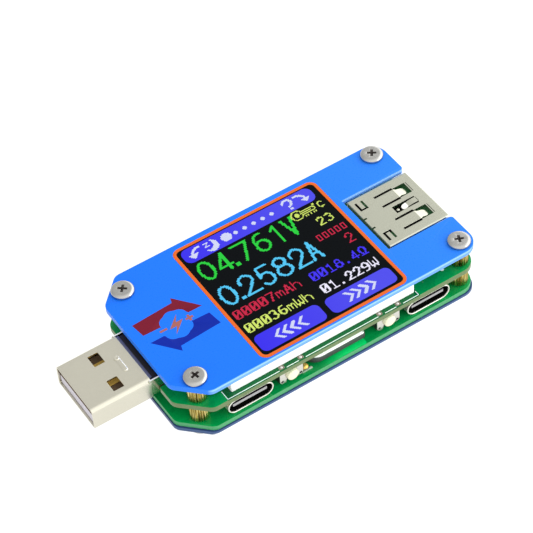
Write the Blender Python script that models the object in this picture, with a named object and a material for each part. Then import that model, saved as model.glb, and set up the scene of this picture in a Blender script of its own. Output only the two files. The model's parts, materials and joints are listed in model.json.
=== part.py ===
"""USB power meter: two circuit boards stacked between two acrylic panels.

+X runs from the USB plug to the USB socket, -Y is the side with the Type-C ports,
and +Z is up, out of the display. The origin is the centre of the underside of the
object's bounding box, where its four lower screw heads rest. All sizes are in metres.
"""
import math

import bmesh
import bpy

# Driving dimensions of the whole stack
LENGTH = 0.0712
WIDTH = 0.0305
GAP = 0.00005
HEAD_HEIGHT = 0.00075
BOTTOM_PANEL_THICKNESS = 0.0008
LOWER_BOARD_THICKNESS = 0.0010
LOWER_STANDOFF_LENGTH = 0.0038
UPPER_BOARD_THICKNESS = 0.0011
UPPER_STANDOFF_LENGTH = 0.0036
TOP_PANEL_THICKNESS = 0.0012

# Panels and boards
PANEL_LENGTH = 0.05894
PANEL_CHAMFER = 0.0049
CHAMFER_ROUNDING = 0.0020
CORNER_RADIUS = 0.0030
NOTCH_DEPTH = 0.01322
NOTCH_WIDTH = 0.01424
NOTCH_MOUTH_RADIUS = 0.0006
NOTCH_INNER_RADIUS = 0.0003
BOARD_INSET = 0.0002

# Screws and standoffs
LEFT_SCREWS = (-0.01911, 0.01145)
RIGHT_SCREWS = (0.03293, 0.01274)
HEAD_DIAMETER = 0.0041
SHANK_DIAMETER = 0.0016
SHANK_REACH = 0.0015
PANEL_HOLE_DIAMETER = 0.0022
STANDOFF_DIAMETER = 0.0034
STANDOFF_BORE = 0.0017
RECESS_SPAN = 0.0021
RECESS_SLOT = 0.00045
RECESS_DEPTH = 0.00045
SHANK_TIP_TAPER = 0.3
HEAD_RIM_HEIGHT = 0.35
HEAD_SHOULDER = (0.93, 0.72)
HEAD_CROWN_WIDTH = 0.8

# USB plug
PLUG_WIDTH = 0.0120
PLUG_HEIGHT = 0.0045
PLUG_TOP_BELOW_PANEL = 0.00233
PLUG_SHELL_LENGTH = 0.0113
PLUG_TAIL_LENGTH = 0.0038
PLUG_TAIL_DROP = 0.0012
PLUG_TAIL_LAP = 0.0010
PLUG_CORNER_RADIUS = 0.0006
SHELL_WALL = 0.0003
PLUG_HOLE = (0.00195, 0.0025)
PLUG_HOLE_FROM_TIP = 0.0061
PLUG_HOLE_SPACING = 0.0062
PLUG_TONGUE_THICKNESS = 0.0019
PLUG_TONGUE_SETBACK = 0.0004
PLUG_BASE_START = 0.0091
PLUG_BASE_END = 0.0182

# Contacts of the plug and the socket
CONTACT_OFFSETS = (-0.0035, -0.0010, 0.0010, 0.0035)
CONTACT_WIDTH = 0.0010
CONTACT_THICKNESS = 0.00015
OUTER_CONTACT_SETBACK = 0.0013
INNER_CONTACT_SETBACK = 0.0022
SOCKET_CONTACT_SETBACK = 0.0010

# USB socket
SOCKET_WIDTH = 0.0131
SOCKET_HEIGHT = 0.0060
SOCKET_DEPTH = 0.0124
SOCKET_TOP_BELOW_PANEL = 0.00045
SOCKET_CORNER_RADIUS = 0.0006
SPRING_OFFSET = 0.00315
SPRING_WIDTH = 0.0030
SPRING_LENGTH = 0.0038
SPRING_SLIT = 0.00028
SPRING_WINDOW = 0.0025
SPRING_ROOT = 0.0043
SLIT_OVERRUN = 0.0004
LEAF_LENGTH = 0.0019
LEAF_LAP = 0.0001
LEAF_DROP = 0.00045
LATCH_WIDTH = 0.0016
LATCH_LENGTH = 0.0028
LATCH_ROOT_SETBACK = 0.00225
LATCH_WINDOW_LENGTH = 0.0016
LATCH_WINDOW_LAP = 0.0002
LANCE_OFFSET = 0.0042
LANCE_HALF_LENGTH = 0.00105
LANCE_XS = (0.0009, 0.00215)
LANCE_SLIT = 0.0003
REAR_NOTCH = (0.0011, 0.0015)
REAR_NOTCH_DEPTH = 0.0006
SOCKET_BLOCK_LENGTH = 0.0033
SOCKET_TONGUE_SETBACK = 0.0007
SOCKET_TONGUE_THICKNESS = 0.00184
SOCKET_TONGUE_WIDTH = 0.0111

# Type-C ports
TYPEC_WIDTH = 0.00894
TYPEC_HEIGHT = 0.0032
TYPEC_DEPTH = 0.0073
TYPEC_SETBACK = 0.00075
TYPEC_WALL = 0.00025
TYPEC_INPUT_X = -0.01085
TYPEC_OUTPUT_X = 0.02535
TYPEC_TONGUE = (0.0067, 0.0007)
TYPEC_TONGUE_SETBACK = 0.0004
TYPEC_BLOCK_DEPTH = 0.0016
BLOCK_LAP = 0.0005

# Side switches and their buttons
SWITCH_XS = (-0.00275, 0.0170)
SWITCH_WIDTH = 0.0046
SWITCH_HEIGHT = 0.0033
SWITCH_BODY_DEPTH = 0.0024
SWITCH_FRONT_SETBACK = 0.0009
COVER_THICKNESS = 0.0002
BUTTON_DIAMETER = 0.0022
BUTTON_CLEARANCE = 0.00005
BUTTON_PROTRUSION = 0.00085
BUTTON_TRAVEL = 0.00025
BUTTON_FLANGE = (0.0030, 0.0018, 0.0004)
POCKET_SIZE = (0.0034, 0.0023, 0.0012)

# Display module
DISPLAY_X = (-0.01415, 0.02266)
DISPLAY_HALF_WIDTH = 0.01405
DISPLAY_RIM = 0.0006
GLASS_DEPTH = 0.0012
FLEX_THICKNESS = 0.00012
FLEX_FOOT = 0.0014
FLEX_RISE = 0.0024
FLEX_HALF_WIDTH = 0.0055

# Crystal on the lower board, at the port side
CRYSTAL_CENTRE = (0.00705, -0.0115)
CRYSTAL_HALF = (0.0056, 0.00235)
CRYSTAL_BASE_HEIGHT = 0.00125
CRYSTAL_CAN_INSET = (0.0004, 0.00015)
CRYSTAL_CAN_HEIGHT = 0.0021

# Plain boxes on the lower board: X range, Y range and height
CONTROLLER = ((-0.0010, 0.0060), (0.0010, 0.0080), 0.0014)
REGULATOR = ((-0.0105, -0.0040), (-0.0045, -0.0010), 0.0016)
SHUNT = ((0.0120, 0.0184), (-0.0045, -0.0013), 0.0007)
CAPACITOR = ((-0.0160, -0.0087), (0.0065, 0.0108), 0.0028)
HEADER = ((0.0090, 0.0192), (0.0055, 0.0080), LOWER_STANDOFF_LENGTH)

# Levels, worked out upward from the lower screw heads
BOTTOM_PANEL_Z = HEAD_HEIGHT + GAP
LOWER_BOARD_Z = BOTTOM_PANEL_Z + BOTTOM_PANEL_THICKNESS + GAP
LOWER_BOARD_TOP = LOWER_BOARD_Z + LOWER_BOARD_THICKNESS
LOWER_STANDOFF_Z = LOWER_BOARD_TOP + GAP
UPPER_BOARD_Z = LOWER_STANDOFF_Z + LOWER_STANDOFF_LENGTH + GAP
UPPER_BOARD_TOP = UPPER_BOARD_Z + UPPER_BOARD_THICKNESS
UPPER_STANDOFF_Z = UPPER_BOARD_TOP + GAP
TOP_PANEL_Z = UPPER_STANDOFF_Z + UPPER_STANDOFF_LENGTH + GAP
TOP_PANEL_TOP = TOP_PANEL_Z + TOP_PANEL_THICKNESS

# Places along X and Y
TIP_X = -LENGTH / 2
RIGHT_X = LENGTH / 2
LEFT_X = RIGHT_X - PANEL_LENGTH
HALF_WIDTH = WIDTH / 2
PLUG_TOP = TOP_PANEL_TOP - PLUG_TOP_BELOW_PANEL
PLUG_BOTTOM = PLUG_TOP - PLUG_HEIGHT
SOCKET_TOP = TOP_PANEL_TOP - SOCKET_TOP_BELOW_PANEL
SOCKET_BOTTOM = SOCKET_TOP - SOCKET_HEIGHT
SOCKET_REAR_X = RIGHT_X - SOCKET_DEPTH
SWITCH_FRONT = HALF_WIDTH - SWITCH_FRONT_SETBACK

CIRCLE_STEPS = 24
ARC_STEP = math.radians(18)
NEARLY_ROUND = 0.999


def clear_scene():
    for old in list(bpy.data.objects):
        bpy.data.objects.remove(old, do_unlink=True)


def new_material(name, colour, roughness, metallic=0.0):
    material = bpy.data.materials.new(name)
    material.use_nodes = True
    shader = material.node_tree.nodes["Principled BSDF"]
    shader.inputs["Base Color"].default_value = (*colour, 1.0)
    shader.inputs["Roughness"].default_value = roughness
    shader.inputs["Metallic"].default_value = metallic
    return material


def finish_object(name, mesh_builder, material=None):
    """Turns a bmesh into a named object, with its faces pointing out."""
    bmesh.ops.recalc_face_normals(mesh_builder, faces=mesh_builder.faces)
    mesh = bpy.data.meshes.new(name)
    mesh_builder.to_mesh(mesh)
    mesh_builder.free()
    if material is not None:
        mesh.materials.append(material)
    created = bpy.data.objects.new(name, mesh)
    bpy.context.scene.collection.objects.link(created)
    return created


def prism(name, outline, low, high, axis="Z", material=None):
    """A straight solid: the outline holds the two coordinates across the axis, in XYZ order."""
    places = {
        "X": lambda a, b, along: (along, a, b),
        "Y": lambda a, b, along: (a, along, b),
        "Z": lambda a, b, along: (a, b, along),
    }
    place = places[axis]
    builder = bmesh.new()
    lower = [builder.verts.new(place(a, b, low)) for a, b in outline]
    upper = [builder.verts.new(place(a, b, high)) for a, b in outline]
    builder.faces.new(lower)
    builder.faces.new(upper)
    count = len(outline)
    for index in range(count):
        after = (index + 1) % count
        builder.faces.new((lower[index], lower[after], upper[after], upper[index]))
    return finish_object(name, builder, material)


def box(name, xs, ys, zs, material=None):
    outline = [(xs[0], ys[0]), (xs[1], ys[0]), (xs[1], ys[1]), (xs[0], ys[1])]
    return prism(name, outline, zs[0], zs[1], "Z", material)


def circle(centre, radius):
    angles = [2 * math.pi * step / CIRCLE_STEPS for step in range(CIRCLE_STEPS)]
    return [(centre[0] + radius * math.cos(a), centre[1] + radius * math.sin(a)) for a in angles]


def turned(name, centre, profile, material=None):
    """A solid of revolution about the vertical line through centre; profile is (radius, z)."""
    builder = bmesh.new()
    rings = []
    for radius, z in profile:
        rings.append([builder.verts.new((x, y, z)) for x, y in circle(centre, radius)])
    for lower, upper in zip(rings, rings[1:]):
        for index in range(CIRCLE_STEPS):
            after = (index + 1) % CIRCLE_STEPS
            builder.faces.new((lower[index], lower[after], upper[after], upper[index]))
    builder.faces.new(rings[0])
    builder.faces.new(rings[-1])
    return finish_object(name, builder, material)


def filleted(corners):
    """An outline through the corners (x, y, radius), with an arc of that radius at each."""
    points = []
    count = len(corners)
    for index, (x, y, radius) in enumerate(corners):
        before = corners[index - 1]
        after = corners[(index + 1) % count]
        way_in = math.atan2(y - before[1], x - before[0])
        way_out = math.atan2(after[1] - y, after[0] - x)
        turn = (way_out - way_in + math.pi) % (2 * math.pi) - math.pi
        if radius == 0:
            points.append((x, y))
            continue
        reach = radius * math.tan(abs(turn) / 2)
        start = (x - reach * math.cos(way_in), y - reach * math.sin(way_in))
        side = math.copysign(1, turn)
        centre = (start[0] - side * radius * math.sin(way_in), start[1] + side * radius * math.cos(way_in))
        steps = max(2, round(abs(turn) / ARC_STEP))
        for step in range(steps + 1):
            angle = way_in - side * math.pi / 2 + turn * step / steps
            points.append((centre[0] + radius * math.cos(angle), centre[1] + radius * math.sin(angle)))
    return points


def rounded_rectangle(centre, half_size, radius):
    left, right = centre[0] - half_size[0], centre[0] + half_size[0]
    low, high = centre[1] - half_size[1], centre[1] + half_size[1]
    return filleted([(left, low, radius), (right, low, radius), (right, high, radius), (left, high, radius)])


def apply_boolean(target, other, operation):
    """Changes the target by the other solid, which is then used up."""
    modifier = target.modifiers.new(operation, "BOOLEAN")
    modifier.operation = operation
    modifier.solver = "EXACT"
    modifier.object = other
    bpy.context.view_layer.update()
    evaluated = target.evaluated_get(bpy.context.evaluated_depsgraph_get())
    result = bpy.data.meshes.new_from_object(evaluated)
    target.modifiers.clear()
    target.data = result
    bpy.data.objects.remove(other, do_unlink=True)


def subtract(target, *cutters):
    for cutter in cutters:
        apply_boolean(target, cutter, "DIFFERENCE")


def unite(target, *others):
    for other in others:
        apply_boolean(target, other, "UNION")


def shade(target, angle=30):
    target.data.shade_smooth()
    target.data.set_sharp_from_angle(angle=math.radians(angle))


# ---------------------------------------------------------------- panels and boards

def board_outline(inset=0.0, notched=False):
    """The outline that panels and boards share: chamfered at the plug, some notched at the socket."""
    left, right = LEFT_X + inset, RIGHT_X - inset
    half = HALF_WIDTH - inset
    lower_half = [
        (left, -(half - PANEL_CHAMFER), CHAMFER_ROUNDING),
        (left + PANEL_CHAMFER, -half, CHAMFER_ROUNDING),
        (right, -half, CORNER_RADIUS),
    ]
    if notched:
        notch = NOTCH_WIDTH / 2
        lower_half.append((right, -notch, NOTCH_MOUTH_RADIUS))
        lower_half.append((RIGHT_X - NOTCH_DEPTH, -notch, NOTCH_INNER_RADIUS))
    upper_half = [(x, -y, radius) for x, y, radius in reversed(lower_half)]
    return filleted(lower_half + upper_half)


def screw_places():
    """The four screw axes: plug end near and far, then socket end near and far."""
    places = []
    for x, offset in (LEFT_SCREWS, RIGHT_SCREWS):
        places += [(x, -offset), (x, offset)]
    return places


def drill_screw_holes(target, low, high):
    for number, centre in enumerate(screw_places()):
        hole = prism(f"hole_{number}", circle(centre, PANEL_HOLE_DIAMETER / 2), low - GAP, high + GAP)
        subtract(target, hole)


def make_panels(acrylic):
    outline = board_outline(notched=True)
    top = prism("top_panel", outline, TOP_PANEL_Z, TOP_PANEL_TOP, "Z", acrylic)
    drill_screw_holes(top, TOP_PANEL_Z, TOP_PANEL_TOP)
    shade(top)
    low, high = BOTTOM_PANEL_Z, BOTTOM_PANEL_Z + BOTTOM_PANEL_THICKNESS
    bottom = prism("bottom_panel", board_outline(), low, high, "Z", acrylic)
    drill_screw_holes(bottom, low, high)
    shade(bottom)


def make_boards(laminate):
    """The upper board is slotted round the plug and notched round the socket."""
    outline = board_outline(BOARD_INSET, notched=True)
    upper = prism("upper_board", outline, UPPER_BOARD_Z, UPPER_BOARD_TOP, "Z", laminate)
    drill_screw_holes(upper, UPPER_BOARD_Z, UPPER_BOARD_TOP)
    slot_half = PLUG_WIDTH / 2 + 2 * GAP
    slot_end = TIP_X + PLUG_BASE_END + 2 * GAP
    slot = box(
        "plug_slot",
        (LEFT_X - GAP, slot_end),
        (-slot_half, slot_half),
        (UPPER_BOARD_Z - GAP, UPPER_BOARD_TOP + GAP),
    )
    subtract(upper, slot)
    shade(upper)
    lower = prism("lower_board", board_outline(BOARD_INSET), LOWER_BOARD_Z, LOWER_BOARD_TOP, "Z", laminate)
    drill_screw_holes(lower, LOWER_BOARD_Z, LOWER_BOARD_TOP)
    shade(lower)


# ---------------------------------------------------------------- screws and standoffs

def cross_recess(centre, low, high):
    """The two crossed slots of a screw head, as cutters."""
    half, slot = RECESS_SPAN / 2, RECESS_SLOT / 2
    x, y = centre
    return (
        box("slot_along_x", (x - half, x + half), (y - slot, y + slot), (low, high)),
        box("slot_along_y", (x - slot, x + slot), (y - half, y + half), (low, high)),
    )


def make_screw(name, centre, seat, up, steel):
    """A pan-head screw whose head sits on the level seat; up is 1 for a head on top, -1 below."""
    head = HEAD_DIAMETER / 2
    shank = SHANK_DIAMETER / 2
    panel = TOP_PANEL_THICKNESS if up > 0 else BOTTOM_PANEL_THICKNESS + LOWER_BOARD_THICKNESS + GAP
    reach = panel + 2 * GAP + SHANK_REACH
    under_head = seat + up * GAP
    crown = under_head + up * HEAD_HEIGHT
    profile = [
        (shank * (1 - SHANK_TIP_TAPER), seat - up * reach),
        (shank, seat - up * (reach - SHANK_TIP_TAPER * shank)),
        (shank, under_head),
        (head, under_head),
        (head, under_head + up * HEAD_RIM_HEIGHT * HEAD_HEIGHT),
        (head * HEAD_SHOULDER[0], under_head + up * HEAD_SHOULDER[1] * HEAD_HEIGHT),
        (head * HEAD_CROWN_WIDTH, crown),
    ]
    screw = turned(name, centre, profile, steel)
    levels = sorted((crown - up * RECESS_DEPTH, crown + up * GAP))
    subtract(screw, *cross_recess(centre, *levels))
    shade(screw)


def make_screws(steel):
    for number, centre in enumerate(screw_places(), start=1):
        make_screw(f"top_screw_{number}", centre, TOP_PANEL_TOP, 1, steel)
        make_screw(f"bottom_screw_{number}", centre, BOTTOM_PANEL_Z, -1, steel)


def make_standoffs(brass):
    """Upper ones are tubes; lower ones end in a stud that reaches up into the upper one."""
    radius, bore, stud = STANDOFF_DIAMETER / 2, STANDOFF_BORE / 2, SHANK_DIAMETER / 2
    for number, centre in enumerate(screw_places(), start=1):
        top = UPPER_STANDOFF_Z + UPPER_STANDOFF_LENGTH
        upper = prism(f"upper_standoff_{number}", circle(centre, radius), UPPER_STANDOFF_Z, top, "Z", brass)
        subtract(upper, prism("bore", circle(centre, bore), UPPER_STANDOFF_Z - GAP, top + GAP))
        shade(upper)
        shoulder = LOWER_STANDOFF_Z + LOWER_STANDOFF_LENGTH
        stud_top = UPPER_BOARD_TOP + SHANK_REACH
        lower = turned(
            f"lower_standoff_{number}",
            centre,
            [(radius, LOWER_STANDOFF_Z), (radius, shoulder), (stud, shoulder), (stud, stud_top)],
            brass,
        )
        bore_top = LOWER_STANDOFF_Z + SHANK_REACH + 8 * GAP
        subtract(lower, prism("bore", circle(centre, bore), LOWER_STANDOFF_Z - GAP, bore_top))
        shade(lower)


# ---------------------------------------------------------------- display

def make_display(white_plastic, black_glass, flex_film):
    low, high = UPPER_BOARD_TOP + GAP, TOP_PANEL_Z - GAP
    half = DISPLAY_HALF_WIDTH
    frame = box("display_frame", DISPLAY_X, (-half, half), (low, high), white_plastic)
    pocket_x = (DISPLAY_X[0] + DISPLAY_RIM, DISPLAY_X[1] - DISPLAY_RIM)
    pocket_half = half - DISPLAY_RIM
    pocket_z = (high - GLASS_DEPTH - GAP, high + GAP)
    subtract(frame, box("glass_pocket", pocket_x, (-pocket_half, pocket_half), pocket_z))
    glass_x = (pocket_x[0] + GAP, pocket_x[1] - GAP)
    glass_half = pocket_half - GAP
    box("display_glass", glass_x, (-glass_half, glass_half), (high - GLASS_DEPTH, high), black_glass)

    near_x = DISPLAY_X[0] - GAP
    outline = [
        (near_x, low),
        (near_x, low + FLEX_RISE),
        (near_x - FLEX_THICKNESS, low + FLEX_RISE),
        (near_x - FLEX_THICKNESS, low + FLEX_THICKNESS),
        (near_x - FLEX_FOOT, low + FLEX_THICKNESS),
        (near_x - FLEX_FOOT, low),
    ]
    prism("display_flex", outline, -FLEX_HALF_WIDTH, FLEX_HALF_WIDTH, "Y", flex_film)


# ---------------------------------------------------------------- USB plug

def make_plug(shell_metal, tongue_plastic, base_plastic, gold):
    half = PLUG_WIDTH / 2
    middle = (PLUG_TOP + PLUG_BOTTOM) / 2
    shell_end = TIP_X + PLUG_SHELL_LENGTH
    outer = rounded_rectangle((0, middle), (half, PLUG_HEIGHT / 2), PLUG_CORNER_RADIUS)
    inner = rounded_rectangle(
        (0, middle),
        (half - SHELL_WALL, PLUG_HEIGHT / 2 - SHELL_WALL),
        PLUG_CORNER_RADIUS - SHELL_WALL,
    )
    shell = prism("plug_shell", outer, TIP_X, shell_end, "X", shell_metal)
    subtract(shell, prism("plug_cavity", inner, TIP_X - GAP, shell_end + GAP, "X"))
    tail_x = (shell_end - PLUG_TAIL_LAP, shell_end + PLUG_TAIL_LENGTH)
    tail_z = (PLUG_BOTTOM + PLUG_CORNER_RADIUS, PLUG_TOP - PLUG_TAIL_DROP)
    for side in (-1, 1):
        ys = sorted((side * half, side * (half - SHELL_WALL)))
        unite(shell, box("tail", tail_x, ys, tail_z))
        hole_x = TIP_X + PLUG_HOLE_FROM_TIP
        hole_y = side * PLUG_HOLE_SPACING / 2
        subtract(shell, box(
            "latch_hole",
            (hole_x - PLUG_HOLE[0] / 2, hole_x + PLUG_HOLE[0] / 2),
            (hole_y - PLUG_HOLE[1] / 2, hole_y + PLUG_HOLE[1] / 2),
            (PLUG_TOP - 2 * SHELL_WALL, PLUG_TOP + GAP),
        ))
    shade(shell)

    room = half - SHELL_WALL - GAP
    floor = PLUG_BOTTOM + SHELL_WALL + GAP
    base_start = TIP_X + PLUG_BASE_START
    tongue_top = floor + PLUG_TONGUE_THICKNESS
    tongue_x = (TIP_X + PLUG_TONGUE_SETBACK, base_start - GAP)
    corner = PLUG_CORNER_RADIUS - SHELL_WALL
    lower_corners = [(-room, floor, corner), (room, floor, corner)]
    upper_corners = [(room, tongue_top, 0), (-room, tongue_top, 0)]
    prism("plug_tongue", filleted(lower_corners + upper_corners), *tongue_x, "X", tongue_plastic)
    base = rounded_rectangle((0, middle), (room, PLUG_HEIGHT / 2 - SHELL_WALL - GAP), corner)
    prism("plug_base", base, base_start, TIP_X + PLUG_BASE_END, "X", base_plastic)

    for number, y in enumerate(CONTACT_OFFSETS, start=1):
        outer_contact = abs(y) == max(CONTACT_OFFSETS)
        start = TIP_X + (OUTER_CONTACT_SETBACK if outer_contact else INNER_CONTACT_SETBACK)
        box(
            f"plug_contact_{number}",
            (start, base_start - GAP),
            (y - CONTACT_WIDTH / 2, y + CONTACT_WIDTH / 2),
            (tongue_top + GAP, tongue_top + GAP + CONTACT_THICKNESS),
            gold,
        )


# ---------------------------------------------------------------- USB socket

def spring_tongue(name, xs, ys, level, drop):
    """A strip of the shell bent down at a slope, from the first x at full height to the second."""
    outline = [
        (xs[0], level - SHELL_WALL),
        (xs[1], level - drop - SHELL_WALL),
        (xs[1], level - drop),
        (xs[0], level),
    ]
    return prism(name, outline, ys[0], ys[1], "Y")


def make_socket_shell(shell_metal):
    """A sheet-metal tube, open at +X, with two springs, a latch and two lances in its top."""
    half = SOCKET_WIDTH / 2
    middle = (SOCKET_TOP + SOCKET_BOTTOM) / 2
    outer = rounded_rectangle((0, middle), (half, SOCKET_HEIGHT / 2), SOCKET_CORNER_RADIUS)
    inner = rounded_rectangle(
        (0, middle),
        (half - SHELL_WALL, SOCKET_HEIGHT / 2 - SHELL_WALL),
        SOCKET_CORNER_RADIUS - SHELL_WALL,
    )
    shell = prism("socket_shell", outer, SOCKET_REAR_X, RIGHT_X, "X", shell_metal)
    subtract(shell, prism("socket_cavity", inner, SOCKET_REAR_X - GAP, RIGHT_X + GAP, "X"))
    through = (SOCKET_TOP - 2 * SHELL_WALL, SOCKET_TOP + GAP)
    root = SOCKET_REAR_X + SPRING_ROOT
    bend = root + SPRING_LENGTH
    for side in (-1, 1):
        centre = side * SPRING_OFFSET
        window_half = SPRING_WIDTH / 2 - SPRING_SLIT
        window = (centre - window_half, centre + window_half)
        subtract(shell, box("spring_window", (bend, bend + SPRING_WINDOW), window, through))
        for edge in (-1, 1):
            slit = centre + edge * SPRING_WIDTH / 2
            ys = sorted((slit, slit - edge * SPRING_SLIT))
            subtract(shell, box("slit", (root, bend + SLIT_OVERRUN), ys, through))
        tip = (bend - LEAF_LAP, bend + LEAF_LENGTH)
        leaf = (centre - window_half + GAP, centre + window_half - GAP)
        unite(shell, spring_tongue("leaf", tip, leaf, SOCKET_TOP, LEAF_DROP))

        free_end = side * (LANCE_OFFSET - LANCE_HALF_LENGTH)
        lance_y = sorted((free_end, side * (LANCE_OFFSET + LANCE_HALF_LENGTH)))
        lance_x = [SOCKET_REAR_X + x for x in LANCE_XS]
        cut = LANCE_SLIT / 2
        for x in lance_x:
            subtract(shell, box("lance_slit", (x - cut, x + cut), lance_y, through))
        end = sorted((free_end, free_end + side * LANCE_SLIT))
        subtract(shell, box("lance_end", (lance_x[0] - cut, lance_x[1] + cut), end, through))
        notch_x = (SOCKET_REAR_X - GAP, SOCKET_REAR_X + REAR_NOTCH_DEPTH)
        notch_y = sorted(side * y for y in REAR_NOTCH)
        subtract(shell, box("rear_notch", notch_x, notch_y, through))

    latch_half = LATCH_WIDTH / 2
    latch_root = RIGHT_X - LATCH_ROOT_SETBACK
    latch_tip = latch_root - LATCH_LENGTH
    latch_window = (latch_tip - LATCH_WINDOW_LENGTH, latch_tip + LATCH_WINDOW_LAP)
    subtract(shell, box("latch_window", latch_window, (-latch_half, latch_half), through))
    for edge in (-1, 1):
        ys = sorted((edge * latch_half, edge * (latch_half - SPRING_SLIT)))
        subtract(shell, box("latch_slit", (latch_tip, latch_root), ys, through))
    shade(shell)


def make_socket(shell_metal, green_plastic, gold):
    """The insulator is a block at the back with a tongue under the springs, contacts below it."""
    make_socket_shell(shell_metal)
    half = SOCKET_WIDTH / 2 - SHELL_WALL - GAP
    floor = SOCKET_BOTTOM + SHELL_WALL + GAP
    ceiling = SOCKET_TOP - SHELL_WALL - GAP
    block_end = SOCKET_REAR_X + SOCKET_BLOCK_LENGTH
    corner = SOCKET_CORNER_RADIUS - SHELL_WALL
    outline = rounded_rectangle((0, (floor + ceiling) / 2), (half, (ceiling - floor) / 2), corner)
    insulator = prism("socket_insulator", outline, SOCKET_REAR_X + GAP, block_end, "X", green_plastic)
    tongue_top = ceiling - LEAF_DROP - 2 * GAP
    tongue_low = tongue_top - SOCKET_TONGUE_THICKNESS
    tongue_half = SOCKET_TONGUE_WIDTH / 2
    tongue_end = RIGHT_X - SOCKET_TONGUE_SETBACK
    ends = (block_end - BLOCK_LAP, tongue_end)
    unite(insulator, box("tongue", ends, (-tongue_half, tongue_half), (tongue_low, tongue_top)))
    shade(insulator)
    for number, y in enumerate(CONTACT_OFFSETS, start=1):
        box(
            f"socket_contact_{number}",
            (block_end + GAP, tongue_end - SOCKET_CONTACT_SETBACK),
            (y - CONTACT_WIDTH / 2, y + CONTACT_WIDTH / 2),
            (tongue_low - GAP - CONTACT_THICKNESS, tongue_low - GAP),
            gold,
        )


# ---------------------------------------------------------------- Type-C ports

def make_typec(name, x, shell_metal, black_plastic):
    front = -(HALF_WIDTH - TYPEC_SETBACK)
    back = front + TYPEC_DEPTH
    low = LOWER_BOARD_TOP + GAP
    middle = low + TYPEC_HEIGHT / 2
    half, tall = TYPEC_WIDTH / 2, TYPEC_HEIGHT / 2
    outer = rounded_rectangle((x, middle), (half, tall), tall * NEARLY_ROUND)
    wall = TYPEC_WALL
    inner = rounded_rectangle((x, middle), (half - wall, tall - wall), (tall - wall) * NEARLY_ROUND)
    shell = prism(f"{name}_shell", outer, front, back, "Y", shell_metal)
    subtract(shell, prism("port_cavity", inner, front - GAP, back + GAP, "Y"))
    shade(shell)
    block_half, block_tall = half - wall - GAP, tall - wall - GAP
    block = rounded_rectangle((x, middle), (block_half, block_tall), block_tall * NEARLY_ROUND)
    block_front = back - TYPEC_BLOCK_DEPTH
    tongue = prism(f"{name}_tongue", block, block_front, back - GAP, "Y", black_plastic)
    tongue_half, tongue_thick = TYPEC_TONGUE[0] / 2, TYPEC_TONGUE[1] / 2
    unite(tongue, box(
        "tongue",
        (x - tongue_half, x + tongue_half),
        (front + TYPEC_TONGUE_SETBACK, block_front + BLOCK_LAP),
        (middle - tongue_thick, middle + tongue_thick),
    ))
    shade(tongue)


# ---------------------------------------------------------------- side switches

def make_switch(number, x, side, body_plastic, steel, cap_plastic):
    """A side-pressed switch under the upper board; side is -1 for the port side, 1 for the other."""
    top = UPPER_BOARD_Z - GAP
    middle = top - SWITCH_HEIGHT / 2
    half, tall = SWITCH_WIDTH / 2, SWITCH_HEIGHT / 2
    cover_back = SWITCH_FRONT - COVER_THICKNESS
    body_front = cover_back - GAP
    xs, zs = (x - half, x + half), (middle - tall, middle + tall)

    def across(near, far):
        return sorted((side * near, side * far))

    body_ys = across(body_front, body_front - SWITCH_BODY_DEPTH)
    body = box(f"switch_body_{number}", xs, body_ys, zs, body_plastic)
    pocket_half, pocket_tall = POCKET_SIZE[0] / 2, POCKET_SIZE[1] / 2
    subtract(body, box(
        "pocket",
        (x - pocket_half, x + pocket_half),
        across(body_front + GAP, body_front - POCKET_SIZE[2]),
        (middle - pocket_tall, middle + pocket_tall),
    ))

    cover = box(f"switch_cover_{number}", xs, across(SWITCH_FRONT, cover_back), zs, steel)
    hole = circle((x, middle), BUTTON_DIAMETER / 2 + BUTTON_CLEARANCE)
    subtract(cover, prism("button_hole", hole, *across(SWITCH_FRONT + GAP, cover_back - GAP), "Y"))

    stem_end = body_front - POCKET_SIZE[2] + BUTTON_TRAVEL + 2 * GAP
    face = SWITCH_FRONT + BUTTON_PROTRUSION
    button = prism(
        f"button_{number}",
        circle((x, middle), BUTTON_DIAMETER / 2),
        *across(face, stem_end),
        "Y",
        cap_plastic,
    )
    flange_half, flange_tall = BUTTON_FLANGE[0] / 2, BUTTON_FLANGE[1] / 2
    unite(button, box(
        "flange",
        (x - flange_half, x + flange_half),
        across(body_front - GAP, body_front - GAP - BUTTON_FLANGE[2]),
        (middle - flange_tall, middle + flange_tall),
    ))
    shade(button)


# ---------------------------------------------------------------- parts on the lower board

def make_crystal(base_plastic, steel):
    """A quartz crystal in a metal can on a flat base, both with round ends."""
    half, deep = CRYSTAL_HALF
    low = LOWER_BOARD_TOP + GAP
    base_top = low + CRYSTAL_BASE_HEIGHT
    base = rounded_rectangle(CRYSTAL_CENTRE, (half, deep), deep * NEARLY_ROUND)
    prism("crystal_base", base, low, base_top, "Z", base_plastic)
    can_half, can_deep = half - CRYSTAL_CAN_INSET[0], deep - CRYSTAL_CAN_INSET[1]
    can = rounded_rectangle(CRYSTAL_CENTRE, (can_half, can_deep), can_deep * NEARLY_ROUND)
    prism("crystal_can", can, base_top + GAP, base_top + CRYSTAL_CAN_HEIGHT, "Z", steel)


def on_lower_board(name, place, material):
    xs, ys, height = place
    low = LOWER_BOARD_TOP + GAP
    box(name, xs, ys, (low, low + height), material)


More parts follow.
